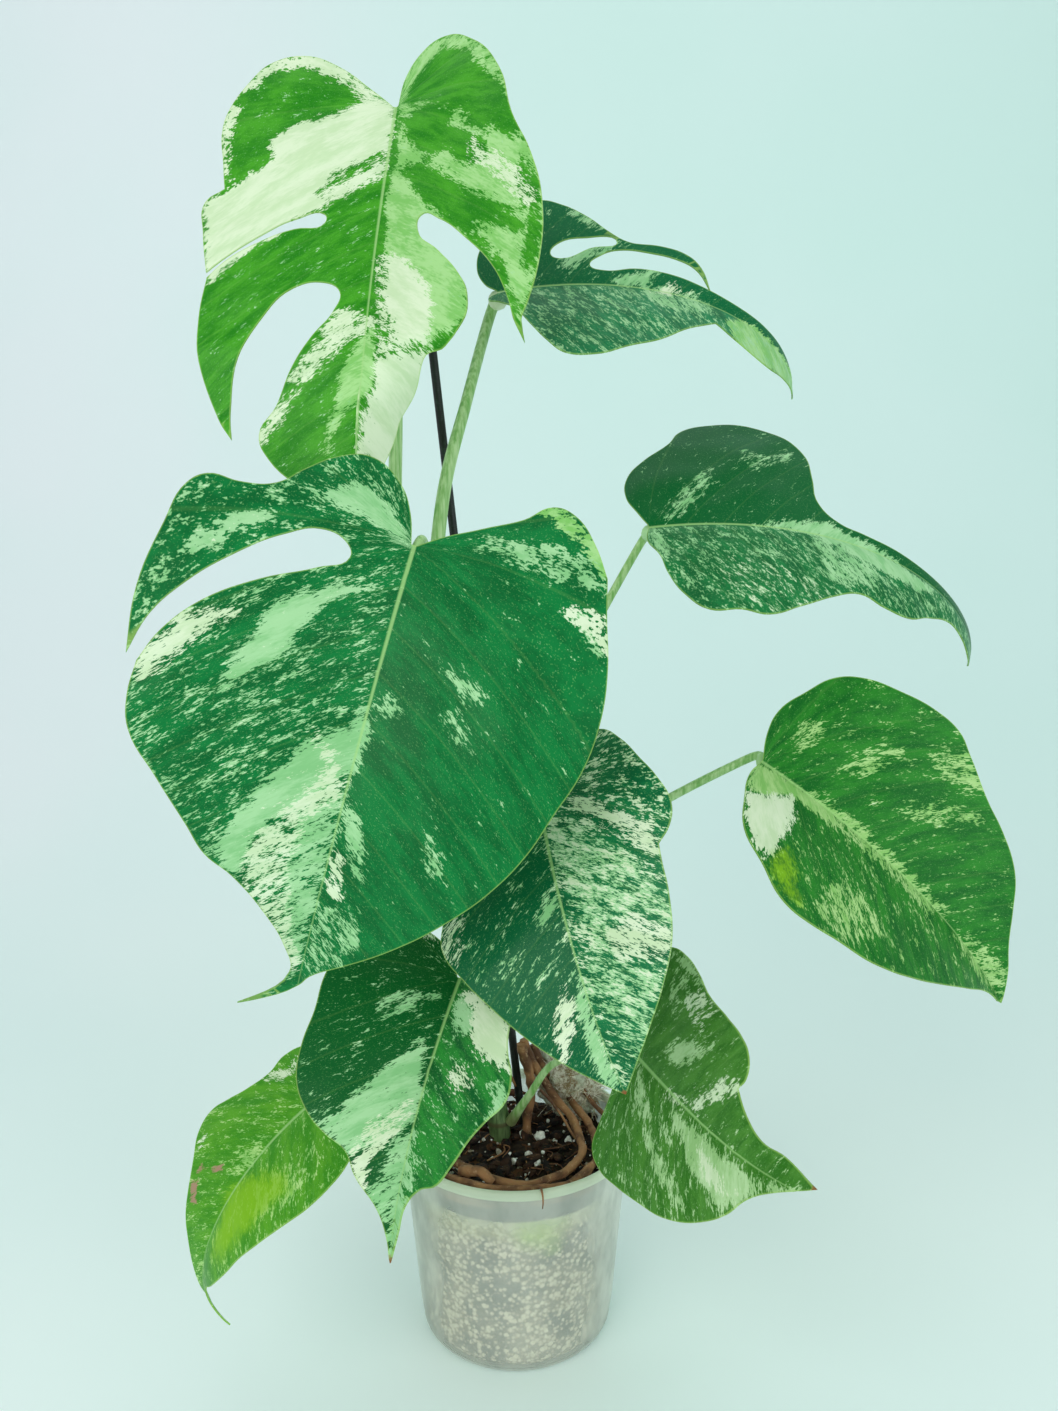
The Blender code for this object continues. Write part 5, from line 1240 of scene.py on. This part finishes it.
def leaf_upper(name, length, greens, pales=("86c483", "a6d79f"), shaded_half=0, burn=-0.5, **floors):
    """The glossy marbled upper skin, with painted light and shade: its green wanders between a shaded and a
    lit green.
    """
    skin = Finish(name, {"Specular IOR Level": 0.12})
    x, y, margin = skin_layer(skin, "leaf_flat")
    v, r, seed = skin_layer(skin, "leaf_vein")
    cream, pale, light = skin_layer(skin, "leaf_tones")
    lime, brown, tip = skin_layer(skin, "leaf_marks")
    streak, _ = marbling(skin, v, r, seed)
    other = cloud(skin, joined(skin, 8.0 * v, 2.0 * r, seed + 31.0), 1.0, 4.0, 0.62)
    tone = cloud(skin, joined(skin, 1.2 * v, 0.35 * r, seed + 15.0), 1.0, 3.0)
    # Painted light and shade: the share of the lit green against the shaded one wanders over the blade.
    base = between(skin, tone + 0.5 * (other - 0.5), 0.30, 0.70)
    cloudy = between(skin, tone + 0.5 * (other - 0.5), 0.34, 0.66)
    # Painted shade: one half of the blade, left or right of the midrib, is pushed towards the shaded green.
    if shaded_half:
        base = base - 0.9 * between(skin, shaded_half * y, -0.05, 0.05)
    colour = mixed(skin, base, paint(greens[0]), paint(greens[1]))
    speck = cloud(skin, joined(skin, 24.0 * v, 10.0 * r, seed + 3.0), 1.0, 2.0, 0.6)
    colour = mixed(skin, 0.30 * between(skin, speck, 0.60, 0.68), colour, paint("8ccf7c"))
    rib = v.math("PINGPONG", v, VEIN_GAP)
    colour = mixed(skin, 0.06 * (1 - between(skin, rib, 0.02, 0.08)), colour, paint("9ccb70"))
    pale_tint = mixed(skin, cloudy, paint(pales[0]), paint(pales[1]))
    cream_tint = mixed(skin, cloudy, paint("c8e0b4"), paint("dcebca"))
    fresh = between(skin, tone + 0.7 * (other - 0.5), 0.36, 0.62)
    light_tint = mixed(skin, fresh, paint("80c265"), paint("a6d78c"))
    colour = mixed(skin, between(skin, light + streak, -0.05, 0.06), colour, light_tint)
    colour = mixed(skin, between(skin, pale + streak + 0.4 * (other - 0.5), -0.05, 0.06), colour, pale_tint)
    colour = mixed(skin, between(skin, cream + streak, -0.04, 0.05), colour, cream_tint)
    colour = mixed(skin, 0.8 * between(skin, lime + 1.2 * streak, -0.30, 0.70), colour, paint("86bd1c"))
    wide = abs(y)
    midrib = 1 - between(skin, wide + 0.1 / length * x, 0.05, 0.15)
    colour = mixed(skin, 0.75 * midrib, colour, paint("a2d183"))
    rim = 1 - between(skin, margin, 0.01, 0.07)
    colour = mixed(skin, 0.5 * rim, colour, paint("a9cf6a"))
    colour = mixed(skin, between(skin, brown + 0.4 * streak, -0.05, 0.08), colour, paint("a98b70"))
    colour = mixed(skin, between(skin, tip + burn + 0.3 * streak, -0.10, 0.10), colour, paint("8a5a34"))
    skin.feed("Base Color", colour)
    grain = cloud(skin, joined(skin, 5.0 * x, 5.0 * y, seed), 1.0, 3.0, 0.6)
    skin.feed("Roughness", 0.38 + 0.16 * (grain - 0.4) + 0.1 * brown)
    groove = 0.5 * between(skin, rib, 0.0, 0.20) + 1.4 * between(skin, wide, 0.0, 0.22) + 0.3 * grain
    relief(skin, groove, 0.0003, 0.45)
    return skin


def leaf_under(name):
    """The dull pale underside."""
    skin = Finish(name, {"Roughness": 0.62, "Specular IOR Level": 0.35})
    x, y, margin = skin_layer(skin, "leaf_flat")
    v, r, seed = skin_layer(skin, "leaf_vein")
    cream, pale, light = skin_layer(skin, "leaf_tones")
    streak, broad = marbling(skin, v, r, seed)
    colour = mixed(skin, between(skin, broad, 0.35, 0.65), paint("5f9a57"), paint("79ad66"))
    colour = mixed(skin, between(skin, pale + streak, -0.06, 0.10), colour, paint("a5cf97"))
    colour = mixed(skin, between(skin, cream + streak, -0.05, 0.08), colour, paint("dbe9c6"))
    rib = v.math("PINGPONG", v, VEIN_GAP)
    colour = mixed(skin, 0.4 * (1 - between(skin, rib, 0.04, 0.16)), colour, paint("b9d79a"))
    colour = mixed(skin, 1 - between(skin, abs(y), 0.05, 0.25), colour, paint("a9d08a"))
    skin.feed("Base Color", colour)
    relief(skin, 1 - between(skin, rib, 0.0, 0.16), 0.0005, 0.8)
    return skin


underside = leaf_under("leaf_underside")


def patch_fields(places, patches, floors):
    """Distance fields of each tone over the blade, positive inside its patches."""
    on_left = places[:, 1] >= 0
    fields = {}
    for tone in ("cream", "pale", "light", "lime", "brown"):
        left, right = floors.get(tone, (-0.9, -0.9))
        fields[tone] = np.where(on_left, left, right)
    for tone, limit, loop in patches:
        away, inside = edge_distance(places, loop)
        signed = np.minimum(np.where(inside, away, -away) + 0.06, limit)
        if tone == "green":
            for other in ("cream", "pale", "light"):
                fields[other] = np.minimum(fields[other], np.maximum(-signed, -0.9))
        else:
            fields[tone] = np.maximum(fields[tone], signed)
    return fields


for seed, (key, leaf) in enumerate(LEAVES.items()):
    sheet, loops = flat_blade(leaf)
    blade_mesh = bpy.data.meshes.new(f"leaf_{key}_blade")
    sheet.to_mesh(blade_mesh)
    sheet.free()
    blade = bpy.data.objects.new(f"leaf_{key}_blade", blade_mesh)
    bpy.context.scene.collection.objects.link(blade)
    flat = np.array([vertex.co[:] for vertex in blade_mesh.vertices])
    x, y = flat[:, 0], flat[:, 1]
    margin = np.min([edge_distance(flat[:, :2], loop)[0] for loop in loops], axis=0)
    v, r = vein_grid(x, y)
    fields = patch_fields(flat[:, :2], PATCHES[key], SKINS[key])
    from_tip = np.hypot(x - leaf["tip"][0], y - leaf["tip"][1])
    store(blade_mesh, "leaf_flat", [x, y, margin])
    store(blade_mesh, "leaf_vein", [v, r, np.full(len(x), 3.7 * seed)])
    store(blade_mesh, "leaf_tones", [fields["cream"], fields["pale"], fields["light"]])
    store(blade_mesh, "leaf_marks", [fields["lime"], fields["brown"], -from_tip])

    quilt = 0.5 - 0.5 * np.cos(math.pi * v / VEIN_GAP)
    lift = 0.035 * (quilt - 0.5) * eased(0.2, 1.6, np.abs(y)) * eased(0.0, 0.7, margin)
    lift -= 0.05 * np.exp(-(y / 0.22) ** 2)
    ripple = np.array([noise.noise(Vector((0.38 * a, 0.38 * b, 9.0 * seed))) for a, b in zip(x, y)])
    lift += 0.13 * ripple * eased(0.5, 3.0, np.abs(y))
    flat[:, 2] = lift
    flat *= CM
    for vertex, spot in zip(blade_mesh.vertices, bent(flat, leaf)):
        vertex.co = spot
    blade_mesh.materials.append(leaf_upper(f"leaf_{key}_upper", leaf["length"], **SKINS[key]).material)
    blade_mesh.materials.append(underside.material)
    blade_mesh.shade_smooth()
    plate = blade.modifiers.new("plate", "SOLIDIFY")
    plate.thickness = BLADE_THICKNESS
    plate.offset = 0.0
    plate.material_offset = 1
    plate.material_offset_rim = 0
    pick_out(blade)
    bpy.ops.object.modifier_apply(modifier=plate.name)
    bpy.ops.object.shade_smooth_by_angle(angle=math.radians(50))
    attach(blade, "root")
    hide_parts(f"leaf_{key}")


# The stalks -----------------------------------------------------------------------
# Each blade hangs on a long round stalk that leaves the stem with a clasping foot.
# It ends in a swollen pale knee under the blade, and runs on as the raised midrib
# on the underside, thinning towards the tip. Stalk and midrib are one growth.

def stem_at(height):
    """Centre and radius of the main stem at a height."""
    heights = [point.z for point in stem_points]
    centre = [float(np.interp(height, heights, [point[k] for point in stem_points])) for k in range(2)]
    share = min((height - heights[0]) / (heights[-1] - heights[0]), 1.0)
    return Vector((*centre, height)), STEM_FOOT_RADIUS + (STEM_HEAD_RADIUS - STEM_FOOT_RADIUS) * share


STALK_KNEE_RADIUS = 0.0024
STALK_FOOT_RADIUS = 0.0036
STALK_STEPS = 64
RIB_STEPS = 40

# How stout each stalk is, how far its knee swells and the knee's tone, where they differ
BUILDS = {
    "a": (1.25, 0.25, "cfe6b4"),
    "c": (1.40, 0.75, "e4ecc8"),
    "d": (1.0, 1.1, "b2dfa6"),
    "i": (0.72, 0.3, "a5d088"),
}

for key, leaf in LEAVES.items():
    stout, swell, knee_tone = BUILDS.get(key, (1.0, 0.15, "a5d088"))
    height, side, beside = leaf["node"]
    centre, stem_radius = stem_at(height * CM)
    aside = Vector((math.cos(math.radians(side)), math.sin(math.radians(side)), 0.0))
    start = centre + beside * (stem_radius + 0.4 * STALK_FOOT_RADIUS) * aside
    approach, end = bent(np.array([[-0.9 * CM, 0.0, -1.5 * CM], [0.15 * CM, 0.0, -0.0034]]), leaf)
    route = [start] + [Vector(spot) * CM for spot in leaf["stalk"]] + [Vector(approach), Vector(end)]
    points = smooth_route(route, STALK_STEPS)
    radii = []
    for step in range(STALK_STEPS):
        share = min(1.0, 1.6 * step / (STALK_STEPS - 1))
        foot = 1.0 + 0.35 * math.exp(-(step / 5.0) ** 2)
        knee = 1.0 + swell * math.exp(-((step - STALK_STEPS + 5) / 3.2) ** 2)
        plain = STALK_FOOT_RADIUS + (STALK_KNEE_RADIUS - STALK_FOOT_RADIUS) * share
        radii.append(plain * stout * foot * knee)
    rib = np.zeros((RIB_STEPS, 3))
    for step in range(RIB_STEPS):
        share = (step + 1) / RIB_STEPS
        thick = 0.0024 * (1 - share) ** 0.8 + 0.0005
        rib[step] = (0.005 + (0.88 * leaf["length"] * CM - 0.005) * share, 0.0, -thick - 0.0001)
        radii.append(thick)
    points += [Vector(spot) for spot in bent(rib, leaf)]
    stalk = round_bar(f"stalk_{key}_stem", [(points, radii)], 4)
    spots = np.array([vertex.co[:] for vertex in stalk.data.vertices])
    line = np.array([point[:] for point in points])
    nearest = np.argmin(((spots[:, None, :] - line[None, :, :]) ** 2).sum(axis=2), axis=1)
    store(stalk.data, "along", [nearest / (STALK_STEPS - 1), spots[:, 0] * 0, spots[:, 0] * 0])
    skin = Finish(f"stalk_{key}_skin", {"Roughness": 0.45, "Coat Weight": 0.1})
    along = skin_layer(skin, "along")[0]
    place = on_object(skin)
    streak = cloud(skin, stretched(skin, place, (1.0, 1.0, 0.05)), 420.0, 4.0, 0.6)
    stalk_tone = mixed(skin, between(skin, streak, 0.32, 0.68), paint("76b356"), paint("bfe0a0"))
    stalk_tone = mixed(skin, 0.8 * (1 - between(skin, along, 0.02, 0.12)), stalk_tone, paint("6f6a45"))
    knuckle = between(skin, along, 0.87, 0.91) * (1 - between(skin, along, 1.00, 1.03))
    stalk_tone = mixed(skin, 0.85 * knuckle, stalk_tone, paint(knee_tone))
    skin.feed("Base Color", stalk_tone)
    relief(skin, streak, 0.0003)
    stalk.data.materials.append(skin.material)
    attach(stalk, "root")
    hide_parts(f"stalk_{key}")
